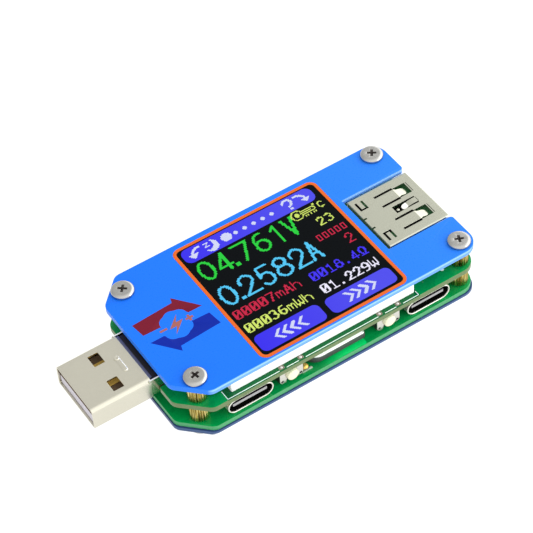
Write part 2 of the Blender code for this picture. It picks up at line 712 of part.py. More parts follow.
def build():
    clear_scene()
    acrylic = new_material("blue_acrylic", (0.04, 0.21, 1.0), 0.35)
    laminate = new_material("green_laminate", (0.0, 0.16, 0.04), 0.4)
    steel = new_material("nickel_steel", (0.55, 0.53, 0.5), 0.35, 1.0)
    brass = new_material("brass", (0.62, 0.45, 0.12), 0.35, 1.0)
    shell_metal = new_material("shell_metal", (0.62, 0.6, 0.52), 0.3, 1.0)
    gold = new_material("gold_plate", (0.85, 0.6, 0.2), 0.25, 1.0)
    black_plastic = new_material("black_plastic", (0.012, 0.011, 0.014), 0.35)
    tongue_plastic = new_material("pale_plastic", (0.55, 0.53, 0.56), 0.45)
    white_plastic = new_material("white_plastic", (0.85, 0.86, 0.85), 0.5)
    cap_plastic = new_material("cream_plastic", (0.82, 0.79, 0.6), 0.45)
    green_plastic = new_material("green_plastic", (0.01, 0.09, 0.025), 0.45)
    black_glass = new_material("black_glass", (0.004, 0.004, 0.006), 0.08)
    flex_film = new_material("amber_film", (0.5, 0.22, 0.03), 0.3)
    ceramic = new_material("resistor_ceramic", (0.03, 0.03, 0.03), 0.5)
    resin = new_material("capacitor_resin", (0.75, 0.5, 0.1), 0.45)

    make_panels(acrylic)
    make_boards(laminate)
    make_screws(steel)
    make_standoffs(brass)
    make_display(white_plastic, black_glass, flex_film)
    make_plug(shell_metal, tongue_plastic, black_plastic, gold)
    make_socket(shell_metal, green_plastic, gold)
    make_typec("typec_input", TYPEC_INPUT_X, shell_metal, black_plastic)
    make_typec("typec_output", TYPEC_OUTPUT_X, shell_metal, black_plastic)
    number = 0
    for side in (-1, 1):
        for x in SWITCH_XS:
            number += 1
            make_switch(number, x, side, black_plastic, steel, cap_plastic)
    make_crystal(black_plastic, steel)
    on_lower_board("controller_chip", CONTROLLER, black_plastic)
    on_lower_board("regulator_chip", REGULATOR, black_plastic)
    on_lower_board("shunt_resistor", SHUNT, ceramic)
    on_lower_board("input_capacitor", CAPACITOR, resin)
    on_lower_board("board_header", HEADER, black_plastic)


build()
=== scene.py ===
"""Looks of the USB power meter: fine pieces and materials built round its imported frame.

Shapes are worked out in millimetres and scaled to metres when a piece is made.
"""
import json
import math

import bmesh
import bpy
from mathutils import Matrix, Vector

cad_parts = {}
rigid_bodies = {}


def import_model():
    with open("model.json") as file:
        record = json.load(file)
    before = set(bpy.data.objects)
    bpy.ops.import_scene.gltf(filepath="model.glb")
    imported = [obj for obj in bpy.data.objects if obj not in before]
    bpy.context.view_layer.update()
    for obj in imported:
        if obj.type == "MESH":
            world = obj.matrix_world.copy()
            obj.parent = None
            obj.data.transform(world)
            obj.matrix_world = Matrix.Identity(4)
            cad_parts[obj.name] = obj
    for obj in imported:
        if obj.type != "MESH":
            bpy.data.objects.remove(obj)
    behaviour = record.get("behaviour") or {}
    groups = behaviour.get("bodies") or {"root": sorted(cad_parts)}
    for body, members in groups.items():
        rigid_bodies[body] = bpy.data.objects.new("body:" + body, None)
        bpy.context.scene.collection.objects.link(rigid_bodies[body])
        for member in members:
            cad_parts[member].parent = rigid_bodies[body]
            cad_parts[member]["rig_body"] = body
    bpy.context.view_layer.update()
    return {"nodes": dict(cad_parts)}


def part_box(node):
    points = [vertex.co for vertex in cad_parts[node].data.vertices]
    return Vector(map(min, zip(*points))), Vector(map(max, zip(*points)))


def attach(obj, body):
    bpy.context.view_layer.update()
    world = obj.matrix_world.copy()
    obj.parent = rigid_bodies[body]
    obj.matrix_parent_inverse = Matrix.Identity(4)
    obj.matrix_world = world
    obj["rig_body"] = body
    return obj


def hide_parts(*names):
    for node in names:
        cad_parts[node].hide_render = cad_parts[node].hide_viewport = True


MM = 0.001
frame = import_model()

# Outlines of the panels and boards
CHAMFER = 4.9
CHAMFER_ROUNDING = 2.0
CORNER = 3.0
NOTCH_HALF = 7.12
PANEL_FAR_NOTCH = 6.95
NOTCH_X = 22.38
MOUTH_CORNER = 0.6
INNER_CORNER = 0.3
SLOT_HALF = 6.1
SLOT_X = -17.3
HOLE_RADIUS = 1.1

# Display window in the top panel: its X and Y ranges, and the width of its orange border
WINDOW_X = (-7.6, 20.57)
WINDOW_Y = (-14.3, 13.55)
BORDER = 0.6

# How far a printed layer stands out of what it is printed on
PRINT = 0.012

# Screen pixels: their size, how much they glow, and the X and Y half-widths of the brushes that
# light them
PITCH = 0.2055
GLOW = 0.35
BIG_BRUSH = (0.25, 0.21)
SMALL_BRUSH = (0.17, 0.12)
THIN_BRUSH = (0.12, 0.12)
FINE_BRUSH = (0.11, 0.11)
FRAME_BRUSH = (0.1, 0.1)
ICON_BRUSH = (0.22, 0.22)
KEY_BRUSH = (0.3, 0.16)


# ---- outlines

def arc(x, y, across, tall, start, end, steps=14):
    """Points of an elliptical arc about (x, y), from one angle in degrees to the other."""
    angles = [math.radians(start + (end - start) * step / steps) for step in range(steps + 1)]
    return [(x + across * math.cos(a), y + tall * math.sin(a)) for a in angles]


def turned_points(centre, radius, steps=48):
    return arc(*centre, radius, radius, 0, 360, steps)[:-1]


def filleted(corners, steps=8):
    """An outline through the corners (x, y, radius), with an arc of that radius at each."""
    points = []
    count = len(corners)
    for index, (x, y, radius) in enumerate(corners):
        if radius == 0:
            points.append((x, y))
            continue
        before, after = corners[index - 1], corners[(index + 1) % count]
        way_in = math.atan2(y - before[1], x - before[0])
        way_out = math.atan2(after[1] - y, after[0] - x)
        turn = (way_out - way_in + math.pi) % (2 * math.pi) - math.pi
        side = math.copysign(1, turn)
        reach = radius * math.tan(abs(turn) / 2)
        centre_x = x - reach * math.cos(way_in) - side * radius * math.sin(way_in)
        centre_y = y - reach * math.sin(way_in) + side * radius * math.cos(way_in)
        for step in range(steps + 1):
            angle = way_in - side * math.pi / 2 + turn * step / steps
            points.append((centre_x + radius * math.cos(angle), centre_y + radius * math.sin(angle)))
    return points


def rectangle(xs, ys, radius=0.0, steps=8):
    corners = [(xs[0], ys[0]), (xs[1], ys[0]), (xs[1], ys[1]), (xs[0], ys[1])]
    return filleted([(x, y, radius) for x, y in corners], steps)


def about(centre, half):
    return (centre - half, centre + half)


# ---- meshes, in millimetres

def mesh_of(builder):
    bmesh.ops.recalc_face_normals(builder, faces=builder.faces)
    mesh = bpy.data.meshes.new("shape")
    builder.to_mesh(mesh)
    builder.free()
    return mesh


def placed(axis, along, a, b):
    """A point at that place along the axis, with a and b across it in XYZ order."""
    return {"X": (along, a, b), "Y": (a, along, b), "Z": (a, b, along)}[axis]


def loft(rings, closed=False):
    """Skins rings of equal point counts; open ends get flat caps."""
    builder = bmesh.new()
    layers = [[builder.verts.new(point) for point in ring] for ring in rings]
    pairs = list(zip(layers, layers[1:]))
    if closed:
        pairs.append((layers[-1], layers[0]))
    else:
        builder.faces.new(layers[0])
        builder.faces.new(layers[-1])
    count = len(rings[0])
    for lower, upper in pairs:
        for index in range(count):
            after = (index + 1) % count
            builder.faces.new((lower[index], lower[after], upper[after], upper[index]))
    return mesh_of(builder)


def prism(outline, low, high, axis="Z"):
    return loft([[placed(axis, level, a, b) for a, b in outline] for level in (low, high)])


def block(xs, ys, zs, radius=0.0):
    return prism(rectangle(xs, ys, radius), *zs)


def turned(centre, profile, axis="Z", steps=48, ripple=0.0, teeth=0):
    """A solid of revolution; profile holds (radius, place along the axis), ripple cuts teeth in it."""
    rings = []
    for radius, level in profile:
        ring = []
        for step in range(steps):
            angle = 2 * math.pi * step / steps
            reach = radius - ripple * (0.5 - 0.5 * math.cos(teeth * angle))
            a = centre[0] + reach * math.cos(angle)
            b = centre[1] + reach * math.sin(angle)
            ring.append(placed(axis, level, a, b))
        rings.append(ring)
    return loft(rings)


def sleeve(axis, centre, half, corners, wall, front, back, roll=0.0):
    """A sheet-metal tube along an axis, with a rounded lip at its front and a rolled rear edge.

    corners holds the radii of its two lower and its two upper corners.
    """
    inward = math.copysign(1, back - front)
    lip_steps = 6
    smallest_radius = 0.06
    stations = []
    for step in range(lip_steps + 1):
        angle = math.pi * step / lip_steps
        along = front + inward * wall / 2 * (1 - math.sin(angle))
        stations.append((along, wall / 2 * (1 - math.cos(angle))))
    stations += [(back - inward * 2 * roll, wall), (back, wall + roll), (back, roll)]
    stations += [(back - inward * roll, 0.25 * roll), (back - inward * (2 * roll + 0.01), 0)]
    rings = []
    for along, inset in stations:
        left, right = about(centre[0], half[0] - inset)
        low, high = about(centre[1], half[1] - inset)
        lower, upper = (max(radius - inset, smallest_radius) for radius in corners)
        ring = [(left, low, lower), (right, low, lower), (right, high, upper), (left, high, upper)]
        rings.append([placed(axis, along, a, b) for a, b in filleted(ring, 10)])
    return loft(rings, closed=True)


def scene_object(name, data):
    """A new object of that data, in the scene."""
    made = bpy.data.objects.new(name, data)
    bpy.context.scene.collection.objects.link(made)
    return made


def evaluated(data, prepare):
    """The mesh of some object data after the modifiers that prepare puts on its object."""
    holder = scene_object("holder", data)
    prepare(holder)
    bpy.context.view_layer.update()
    graph = bpy.context.evaluated_depsgraph_get()
    result = bpy.data.meshes.new_from_object(holder.evaluated_get(graph))
    bpy.data.objects.remove(holder)
    return result


def combined(mesh, others):
    """The mesh after cutting the others from it."""
    holders = [scene_object("other", other) for other in others]

    def prepare(target):
        for holder in holders:
            modifier = target.modifiers.new("cut", "BOOLEAN")
            modifier.operation = "DIFFERENCE"
            modifier.solver = "EXACT"
            modifier.object = holder

    result = evaluated(mesh, prepare)
    for holder in holders:
        bpy.data.objects.remove(holder)
    return result


def softened(mesh, width, segments=2, angle=35):
    """The mesh with its sharp edges rounded."""
    def prepare(target):
        modifier = target.modifiers.new("edges", "BEVEL")
        modifier.width = width
        modifier.segments = segments
        modifier.limit_method = "ANGLE"
        modifier.angle_limit = math.radians(angle)
        modifier.use_clamp_overlap = True

    return evaluated(mesh, prepare)


def soft_block(xs, ys, zs, width, segments=2, radius=0.0):
    return softened(block(xs, ys, zs, radius), width, segments)


def joined(meshes):
    """Several meshes as one, without uniting them."""
    builder = bmesh.new()
    for mesh in meshes:
        builder.from_mesh(mesh)
    return mesh_of(builder)


def slab(outlines, low, high, edge):
    """A plate with rounded edges: the first outline is its rim and the others are its holes."""
    curve = bpy.data.curves.new("slab", "CURVE")
    curve.dimensions = "2D"
    curve.fill_mode = "BOTH"
    curve.extrude = (high - low) / 2 - edge
    curve.bevel_depth = edge
    curve.bevel_resolution = 2
    curve.offset = -edge
    for outline in outlines:
        spline = curve.splines.new("POLY")
        spline.points.add(len(outline) - 1)
        for point, (x, y) in zip(spline.points, outline):
            point.co = (x, y, 0, 1)
        spline.use_cyclic_u = True
    builder = bmesh.new()
    builder.from_mesh(evaluated(curve, lambda holder: None))
    bmesh.ops.remove_doubles(builder, verts=builder.verts, dist=1e-4)
    bmesh.ops.translate(builder, verts=builder.verts, vec=(0, 0, (low + high) / 2))
    return mesh_of(builder)


def cad_mesh(node):
    """A CAD node's own shape, welded and in millimetres."""
    builder = bmesh.new()
    builder.from_mesh(frame["nodes"][node].data)
    bmesh.ops.scale(builder, vec=(1 / MM,) * 3, verts=builder.verts)
    bmesh.ops.remove_doubles(builder, verts=builder.verts, dist=1e-3)
    bmesh.ops.dissolve_limit(builder, angle_limit=0.02, verts=builder.verts, edges=builder.edges)
    return mesh_of(builder)


def cad_range(node):
    """A CAD node's X, Y and Z ranges in millimetres."""
    low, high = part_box(node)
    return [(low[axis] / MM, high[axis] / MM) for axis in range(3)]


def piece(name, mesh, looks, replaces=(), body="housing", angle=35, choose=None):
    """Makes a shown piece of the mesh: scaled to metres, shaded, and riding on its body.

    choose picks the number of a face's look from the face's centre, in millimetres, and normal.
    """
    mesh.name = name
    mesh.transform(Matrix.Diagonal((MM, MM, MM, 1)))
    mesh.shade_smooth()
    mesh.set_sharp_from_angle(angle=math.radians(angle))
    mesh.materials.clear()
    for look in looks if isinstance(looks, (list, tuple)) else (looks,):
        mesh.materials.append(look)
    if choose:
        for face in mesh.polygons:
            face.material_index = int(choose(face.center / MM, face.normal))
    made = scene_object(name, mesh)
    made.modifiers.new("normals", "WEIGHTED_NORMAL").keep_sharp = True
    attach(made, body)
    if replaces:
        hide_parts(*replaces)


def refined(node, width, look, choose=None):
    """Makes a piece of a CAD node's shape with rounded edges, in its place."""
    mesh = softened(cad_mesh(node), width)
    body = frame["nodes"][node]["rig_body"]
    piece(f"fine_{node}", mesh, look, [node], body, choose=choose)


def panel_top():
    return cad_range("top_panel")[2][1]


# ---- materials

# Where the grey values of a noise mostly lie
NOISE_SPAN = (0.3, 0.7)


def add(tree, kind, settings=None, **inputs):
    """A shader node; sockets given as inputs are linked, other values are set."""
    made = tree.nodes.new("ShaderNode" + kind)
    for key, value in (settings or {}).items():
        setattr(made, key, value)
    for key, value in inputs.items():
        link(tree, value, made.inputs[key.replace("_", " ")])
    return made


def link(tree, value, socket):
    if isinstance(value, bpy.types.NodeSocket):
        tree.links.new(value, socket)
    else:
        socket.default_value = value


def rgba(colour):
    return colour if isinstance(colour, bpy.types.NodeSocket) else (*colour, 1.0)


def mixed(tree, share, first, second):
    """Two colours mixed by a share from 0 to 1."""
    made = add(tree, "Mix", {"data_type": "RGBA"})
    for index, value in ((0, share), (6, rgba(first)), (7, rgba(second))):
        link(tree, value, made.inputs[index])
    return made.outputs[2]


def maths(tree, operation, first, second=0.0):
    made = add(tree, "Math", {"operation": operation})
    link(tree, first, made.inputs[0])
    link(tree, second, made.inputs[1])
    return made.outputs[0]


def scaled(tree, colour, share):
    """A colour times a share."""
    made = add(tree, "VectorMath", {"operation": "SCALE"}, Scale=share)
    link(tree, colour, made.inputs[0])
    return made.outputs[0]


def spread(tree, value, low, high, to_low=0.0, to_high=1.0):
    made = add(tree, "MapRange", Value=value, From_Min=low, From_Max=high, To_Min=to_low, To_Max=to_high)
    return made.outputs[0]


def part_of(tree, vector, axis):
    return add(tree, "SeparateXYZ", Vector=vector).outputs[axis]


def place_of(tree, stretch=(1, 1, 1)):
    """The point in the object's own frame, stretched along each axis."""
    where = add(tree, "TexCoord").outputs["Object"]
    return add(tree, "Mapping", Vector=where, Scale=stretch).outputs[0]


def normal_of(tree, axis):
    return part_of(tree, add(tree, "NewGeometry").outputs["Normal"], axis)


def noise(tree, size, stretch=(1, 1, 1), detail=3.0):
    """Noise whose grain is about that size in millimetres."""
    made = add(tree, "TexNoise", Vector=place_of(tree, stretch), Scale=1 / (size * MM), Detail=detail)
    return made.outputs["Fac"]


def new_look(name):
    look = bpy.data.materials.new(name)
    look.use_nodes = True
    return look, look.node_tree, look.node_tree.nodes["Principled BSDF"]


def finish_look(tree, shader, colour, roughness, metallic, grain, relief,
                stretch=(1, 1, 1), wear=0.08, specular=0.5):
    """Sets a shader's colour, and gives it grain in colour, roughness and relief."""
    fine = noise(tree, grain, stretch)
    broad = noise(tree, 6.0, detail=1.0)
    shade = spread(tree, fine, *NOISE_SPAN, 1 - wear, 1.0)
    tone = spread(tree, broad, *NOISE_SPAN, 1 - wear / 2, 1.0)
    link(tree, scaled(tree, colour, maths(tree, "MULTIPLY", shade, tone)), shader.inputs["Base Color"])
    rough = spread(tree, fine, *NOISE_SPAN, roughness * 0.85, roughness * 1.15)
    link(tree, rough, shader.inputs["Roughness"])
    shader.inputs["Metallic"].default_value = metallic
    shader.inputs["Specular IOR Level"].default_value = specular
    if relief:
        raised = add(tree, "Bump", Strength=relief, Distance=0.02 * MM, Height=fine)
        link(tree, raised.outputs[0], shader.inputs["Normal"])


def plain_look(name, colour, roughness, metallic=0.0, grain=0.08, relief=0.15, glow=0.0, **more):
    look, tree, shader = new_look(name)
    shader.inputs["Emission Color"].default_value = rgba(colour)
    shader.inputs["Emission Strength"].default_value = glow
    finish_look(tree, shader, colour, roughness, metallic, grain, relief, **more)
    return look


def facing_up(tree, low=0.55, high=0.8):
    """1 on level faces, 0 on upright ones."""
    return spread(tree, maths(tree, "ABSOLUTE", normal_of(tree, "Z")), low, high)


def along_x(tree, xs):
    """0 at the first X in millimetres, rising to 1 at the second."""
    return spread(tree, part_of(tree, place_of(tree), "X"), xs[0] * MM, xs[1] * MM)


def acrylic_look(name, faces, edge, pale, levels, band, outside):
    """Printed acrylic sheet whose cut edges facing -Y carry a painted highlight, palest in a band.

    faces holds the printed face's colours towards the plug and towards the socket; the paler one towards
    the socket is painted light. band holds the heights, as shares of the sheet's thickness, where the
    pale band of painted highlight starts and ends, and outside is how pale the edge is beside it.
    """
    look, tree, shader = new_look(name)
    # The face is paler towards the socket: painted light
    face = mixed(tree, along_x(tree, (-5.0, 30.0)), *faces)
    saw_lines = noise(tree, 0.06, (0.04, 0.04, 1))
    sawn = mixed(tree, spread(tree, saw_lines, 0.35, 0.65, 0.0, 0.2), edge, face)
    height = part_of(tree, place_of(tree), "Z")
    low, high = (level * MM for level in levels)
    thick = high - low
    start, end = (low + share * thick for share in band)
    rising = spread(tree, height, start - 0.08 * thick, start + 0.08 * thick)
    falling = spread(tree, height, end + 0.05 * thick, end - 0.05 * thick)
    # Only edges that face -Y carry the painted highlight
    near = spread(tree, normal_of(tree, "Y"), -0.75, -0.97)
    share = spread(tree, maths(tree, "MULTIPLY", rising, falling), 0.0, 1.0, outside, 1.0)
    lit = mixed(tree, maths(tree, "MULTIPLY", share, near), sawn, pale)
    colour = mixed(tree, facing_up(tree, 0.97, 0.99), lit, face)
    finish_look(tree, shader, colour, 0.3, 0.0, 0.35, 0.03, wear=0.02, specular=0.15)
    return look


def knurled_look(name, bright, dark):
    """Brass with dark and bright streaks along its axis: painted shade and painted highlight standing for
    the knurl's grooves and crests.
    """
    look, tree, shader = new_look(name)
    streaks = noise(tree, 0.16, (1, 1, 0.03), detail=1.0)
    colour = mixed(tree, spread(tree, streaks, 0.42, 0.58), dark, bright)
    finish_look(tree, shader, colour, 0.28, 1.0, 0.1, 0.1)
    return look


def board_look(name, mask, edge):
    """Circuit board: faint copper areas and vias under green solder mask, woven laminate on its edges."""
    look, tree, shader = new_look(name)
    copper_size, via_spacing = 4.5, 3.1
    cells = add(tree, "TexVoronoi", {"distance": "CHEBYCHEV"}, Vector=place_of(tree),
                Scale=1 / (copper_size * MM))
    copper = maths(tree, "GREATER_THAN", part_of(tree, cells.outputs["Color"], "X"), 0.62)
    dots = add(tree, "TexVoronoi", Vector=place_of(tree), Scale=1 / (via_spacing * MM))
    via = spread(tree, dots.outputs["Distance"], 0.075, 0.055)
    over_copper = tuple(channel * 1.25 for channel in mask)
    green = mixed(tree, maths(tree, "MULTIPLY", copper, 0.8), mask, over_copper)
    green = mixed(tree, maths(tree, "MULTIPLY", via, 0.35), green, (0.3, 0.4, 0.25))
    fibres = noise(tree, 0.05, (0.08, 0.08, 1))
    dark_edge = tuple(channel * 0.7 for channel in edge)
    laminate = mixed(tree, spread(tree, fibres, 0.35, 0.65), edge, dark_edge)
    colour = mixed(tree, facing_up(tree), laminate, green)
    finish_look(tree, shader, colour, 0.3, 0.0, 0.25, 0.0, wear=0.04, specular=0.25)
    raised = add(tree, "Bump", Strength=0.3, Distance=0.02 * MM, Height=copper)
    link(tree, raised.outputs[0], shader.inputs["Normal"])
    return look


def pixel_lines(tree, axis, low, darkest):
    """1 on the display's pixels, down to darkest on the fine lines between them along an axis."""
    turns = maths(tree, "MULTIPLY", part_of(tree, place_of(tree), axis), 2 * math.pi / (PITCH * MM))
    return spread(tree, maths(tree, "COSINE", turns), low, 1.0, 1.0, darkest)


def light_up(tree, shader, colour, lines):
    """Makes a shader glow like the display's pixels, crossed by the lines between them."""
    lit = scaled(tree, colour, lines)
    link(tree, lit, shader.inputs["Base Color"])
    link(tree, lit, shader.inputs["Emission Color"])
    shader.inputs["Emission Strength"].default_value = GLOW
    shader.inputs["Roughness"].default_value = 0.5
    shader.inputs["Specular IOR Level"].default_value = 0.1


def dimmed(colour):
    """What a pixel's colour has to be for its glow and its reflection to add up to it."""
    return [channel / (1.1 + GLOW) for channel in colour]


def ink_look(name, shown):
    """Lit display pixels."""
    look, tree, shader = new_look(name)
    lines = [pixel_lines(tree, axis, 0.5, 0.75) for axis in ("X", "Y")]
    light_up(tree, shader, dimmed(shown), maths(tree, "MULTIPLY", *lines))
    return look


def bar_look(name, first, second, xs):
    """A lit bar of the display whose colour changes a little from one X to another."""
    look, tree, shader = new_look(name)
    colour = mixed(tree, along_x(tree, xs), dimmed(first), dimmed(second))
    light_up(tree, shader, colour, pixel_lines(tree, "X", 0.4, 0.9))
    return look


# ---- panels and display window

def screw_centres():
    """The four screw axes, taken from the CAD screws, by number."""
    ranges = {number: cad_range(f"top_screw_{number}") for number in range(1, 5)}
    return {number: (sum(xs) / 2, sum(ys) / 2) for number, (xs, ys, _) in ranges.items()}


def sheet_outline(node, notched=False, slotted=False):
    """A panel's or a board's rim: chamfered at the plug, some notched round the connectors."""
    (left, right), (_, half), _ = cad_range(node)
    near = [
        (left, -(half - CHAMFER), CHAMFER_ROUNDING),
        (left + CHAMFER, -half, CHAMFER_ROUNDING),
        (right, -half, CORNER),
    ]
    if notched:
        near += [(right, -NOTCH_HALF, MOUTH_CORNER), (NOTCH_X, -NOTCH_HALF, INNER_CORNER)]
    if slotted:
        near = [(SLOT_X, -SLOT_HALF, INNER_CORNER), (left, -SLOT_HALF, INNER_CORNER)] + near
    far = [(x, -y, radius) for x, y, radius in reversed(near)]
    if node == "top_panel":
        far = [(x, PANEL_FAR_NOTCH if y == NOTCH_HALF else y, radius) for x, y, radius in far]
    return filleted(near + far, 12)


def sheet(node, edge, **cuts):
    """A panel or board with its screw holes, as a slab in its CAD place."""
    holes = [turned_points(centre, HOLE_RADIUS, 32) for centre in screw_centres().values()]
    if node == "top_panel":
        holes.insert(0, window_outline(BORDER))
    return slab([sheet_outline(node, **cuts)] + holes, *cad_range(node)[2], edge)


def window_outline(grow):
    xs = (WINDOW_X[0] - grow, WINDOW_X[1] + grow)
    ys = (WINDOW_Y[0] - grow, WINDOW_Y[1] + grow)
    return rectangle(xs, ys, 0.9 + grow, 10)


def make_panels():
    levels = low, high = cad_range("top_panel")[2]
    # The face is paler towards the socket: painted light
    faces = ((0.008, 0.157, 0.84), (0.0202, 0.1992, 0.848))
    # pale is the painted highlight on the edges that face -Y
    edge, pale = (0.02, 0.2, 0.87), (0.3, 0.56, 0.95)
    acrylic = acrylic_look("blue_sheet", faces, edge, pale, levels, (0.58, 0.87), 0.45)
    piece("top_panel_sheet", sheet("top_panel", 0.08, notched=True), acrylic, ["top_panel"])

    orange = plain_look("orange_print", (0.69, 0.12, 0.01), 0.4, grain=0.2, relief=0.05, specular=0.2)
    ring = slab([window_outline(BORDER - 0.01), window_outline(0.0)], low, high + PRINT, 0.02)
    piece("window_border", ring, orange)
    film = plain_look("window_film", (0.002, 0.003, 0.004), 0.3, grain=0.3, relief=0.03, specular=0.04)
    piece("window_pane", slab([window_outline(-0.01)], low, high, 0.02), film)

    # The edge that faces -Y is dark above, and its lowest part carries a painted highlight as pale as the
    # floor.
    # The face is paler towards the socket, painted light, and the upward faces are painted in shade.
    levels = cad_range("bottom_panel")[2]
    faces = ((0.009, 0.11, 0.55), (0.0205, 0.1545, 0.5725))
    edge, pale = (0.055, 0.092, 0.17), (0.95, 0.97, 1.0)
    under = acrylic_look("dark_blue_sheet", faces, edge, pale, levels, (-1.0, 0.28), 0.0)
    dim = plain_look("shaded_sheet", (0.03, 0.06, 0.17), 0.5, specular=0.1)
    piece("bottom_panel_sheet", sheet("bottom_panel", 0.04), (under, dim), ["bottom_panel"],
          choose=lambda spot, normal: normal.z > 0.1)


def make_direction_print():
    """Two printed arrows that pass each other round a bolt with a minus and a plus sign beside it."""
    top = panel_top()
    levels = (top - PRINT, top + PRINT)
    field, reach, lobe, steps = (-15.35, 0.3), (2.75, 2.6), 0.2, 44
    field_edge = []
    for step in range(steps + 1):
        angle = math.radians(168 - 146 * step / steps)
        bump = lobe * abs(math.sin(3 * math.pi * step / steps))
        x = field[0] + (reach[0] + bump) * math.cos(angle)
        field_edge.append((x, field[1] + (reach[1] + bump) * math.sin(angle)))
    tail = [(-21.75, 4.0), (-21.35, 1.05), (-18.35, 0.95)]
    head = [(-12.6, 1.0), (-10.0, 0.98), (-13.45, 5.45), (-13.8, 4.4)]
    right_arrow = tail + field_edge + head
    centre_x = -15.6
    left_arrow = [(2 * centre_x - x, -y) for x, y in right_arrow]
    bolt = [(-14.5, 1.9), (-17.1, -0.4), (-15.75, -0.4), (-16.7, -1.9), (-14.1, 0.4), (-15.45, 0.4)]

    def printed(name, look, colour, specular, meshes):
        ink = plain_look(look, colour, 0.42, grain=0.15, relief=0.05, specular=specular)
        piece(name, joined(meshes), ink)

    red, navy, rust = (0.17, 0.006, 0.022), (0.0, 0.016, 0.31), (0.34, 0.11, 0.1)
    printed("print_arrow_right", "red_print", red, 0.12, [slab([right_arrow], *levels, 0.005)])
    printed("print_arrow_left", "navy_print", navy, 0.12, [slab([left_arrow], *levels, 0.005)])
    minus_x, plus_x, length, width = -18.05, -13.1, 0.7, 0.22
    signs = [slab([bolt], *levels, 0.005)]
    for x, y in ((minus_x, 0.05), (plus_x, -0.05)):
        signs.append(block(about(x, length), about(y, width), levels))
    signs += [block(about(plus_x, width), ys, levels) for ys in ((0.17, 0.65), (-0.75, -0.27))]
    printed("print_signs", "rust_print", rust, 0.2, signs)


# ---- picture on the display

def half_turn(strokes):
    return [[(1 - x, 1 - y) for x, y in stroke] for stroke in strokes]


SIX = [arc(0.62, 0.5, 0.6, 0.5, 68, 195), arc(0.5, 0.3, 0.5, 0.3, 0, 360, 24)]
SMALL_ZERO = rectangle((0.0, 1.0), (0.0, 1.0), 0.32, 2)

# The strokes of each sign, in a unit square
GLYPHS = {
    "0": [arc(0.5, 0.5, 0.5, 0.5, 0, 360, 28)],
    "slashed": [SMALL_ZERO + SMALL_ZERO[:1], [(0.2, 0.25), (0.8, 0.75)]],
    "1": [[(0.0, 0.8), (0.6, 1.0), (0.6, 0.0)]],
    "footed": [[(0.15, 0.8), (0.5, 1.0), (0.5, 0.0)], [(0.1, 0.0), (0.95, 0.0)]],
    "2": [arc(0.5, 0.72, 0.46, 0.28, 195, -25) + [(0.04, 0.0), (1.0, 0.0)]],
    "3": [arc(0.45, 0.76, 0.42, 0.24, 150, -75), arc(0.45, 0.28, 0.52, 0.28, 80, -150)],
    "4": [[(0.7, 0.0), (0.7, 1.0)], [(0.7, 1.0), (0.0, 0.25)], [(0.0, 0.25), (1.0, 0.25)]],
    "5": [[(0.98, 1.0), (0.2, 1.0), (0.1, 0.5)] + arc(0.5, 0.32, 0.48, 0.32, 125, -150)],
    "6": SIX,
    "7": [[(0.0, 1.0), (1.0, 1.0)], [(1.0, 1.0), (0.35, 0.0)]],
    "8": [arc(0.5, 0.77, 0.4, 0.23, 0, 360, 24), arc(0.5, 0.28, 0.5, 0.28, 0, 360, 24)],
    "9": half_turn(SIX),
    "V": [[(0.0, 1.0), (0.5, 0.0)], [(0.5, 0.0), (1.0, 1.0)]],
    "A": [[(0.0, 0.0), (0.5, 1.0)], [(0.5, 1.0), (1.0, 0.0)], [(0.18, 0.34), (0.82, 0.34)]],
    "m": [[(0.0, 0.0), (0.0, 0.65), (0.35, 0.65), (0.5, 0.5), (0.5, 0.1)],
          [(0.5, 0.5), (0.65, 0.65), (0.9, 0.65), (1.0, 0.5), (1.0, 0.0)]],
    "h": [[(0.0, 0.0), (0.0, 1.0)], arc(0.5, 0.35, 0.5, 0.3, 180, 0) + [(1.0, 0.0)]],
    "W": [[(0.0, 1.0), (0.0, 0.3), (0.22, 0.0), (0.5, 0.35), (0.5, 0.65)],
          [(0.5, 0.35), (0.78, 0.0), (1.0, 0.3), (1.0, 1.0)]],
    "ohm": [[(0.0, 0.0), (0.35, 0.0)] + arc(0.5, 0.58, 0.48, 0.42, 235, -55, 20)
            + [(0.65, 0.0), (1.0, 0.0)]],
    "C": [arc(0.5, 0.5, 0.5, 0.5, 50, 310, 20)],
}


def pixel_range(ends, margin):
    """Numbers of the screen pixels between the two ends and a margin round them."""
    return range(math.floor((min(ends) - margin) / PITCH), math.ceil((max(ends) + margin) / PITCH))


def brushed(strokes, brush):
    """Screen pixels that a brush of those X and Y half-widths lights along the strokes."""
    lit = set()
    for stroke in strokes:
        for first, second in zip(stroke, stroke[1:]):
            start = Vector((first[0] / brush[0], first[1] / brush[1]))
            way = Vector((second[0] / brush[0], second[1] / brush[1])) - start
            for row in pixel_range((first[1], second[1]), brush[1]):
                for column in pixel_range((first[0], second[0]), brush[0]):
                    spot = Vector(((column + 0.5) * PITCH / brush[0], (row + 0.5) * PITCH / brush[1]))
                    share = (spot - start).dot(way) / max(way.length_squared, 1e-9)
                    if (start + way * min(1, max(0, share)) - spot).length <= 1:
                        lit.add((row, column))
    return lit


def filled(outline):
    """Screen pixels whose middles lie inside the outline."""
    lit = set()
    for row in pixel_range([y for _, y in outline], 0):
        level = (row + 0.5) * PITCH
        for column in pixel_range([x for x, _ in outline], 0):
            inside = False
            for (x, y), (x_2, y_2) in zip(outline, outline[1:] + outline[:1]):
                if (y > level) != (y_2 > level):
                    crossing = x + (level - y) / (y_2 - y) * (x_2 - x)
                    inside ^= (column + 0.5) * PITCH < crossing
            if inside:
                lit.add((row, column))
    return lit


def show_pixels(name, lit, look, zs):
    """Makes a piece of flat blocks that cover the lit pixels, one for each run of them along X."""
    runs = []
    for row, column in sorted(lit):
        if (row, column - 1) in lit:
            continue
        end = column
        while (row, end) in lit:
            end += 1
        runs.append(block((column * PITCH, end * PITCH), (row * PITCH, (row + 1) * PITCH), zs))
    piece(name, joined(runs), look)


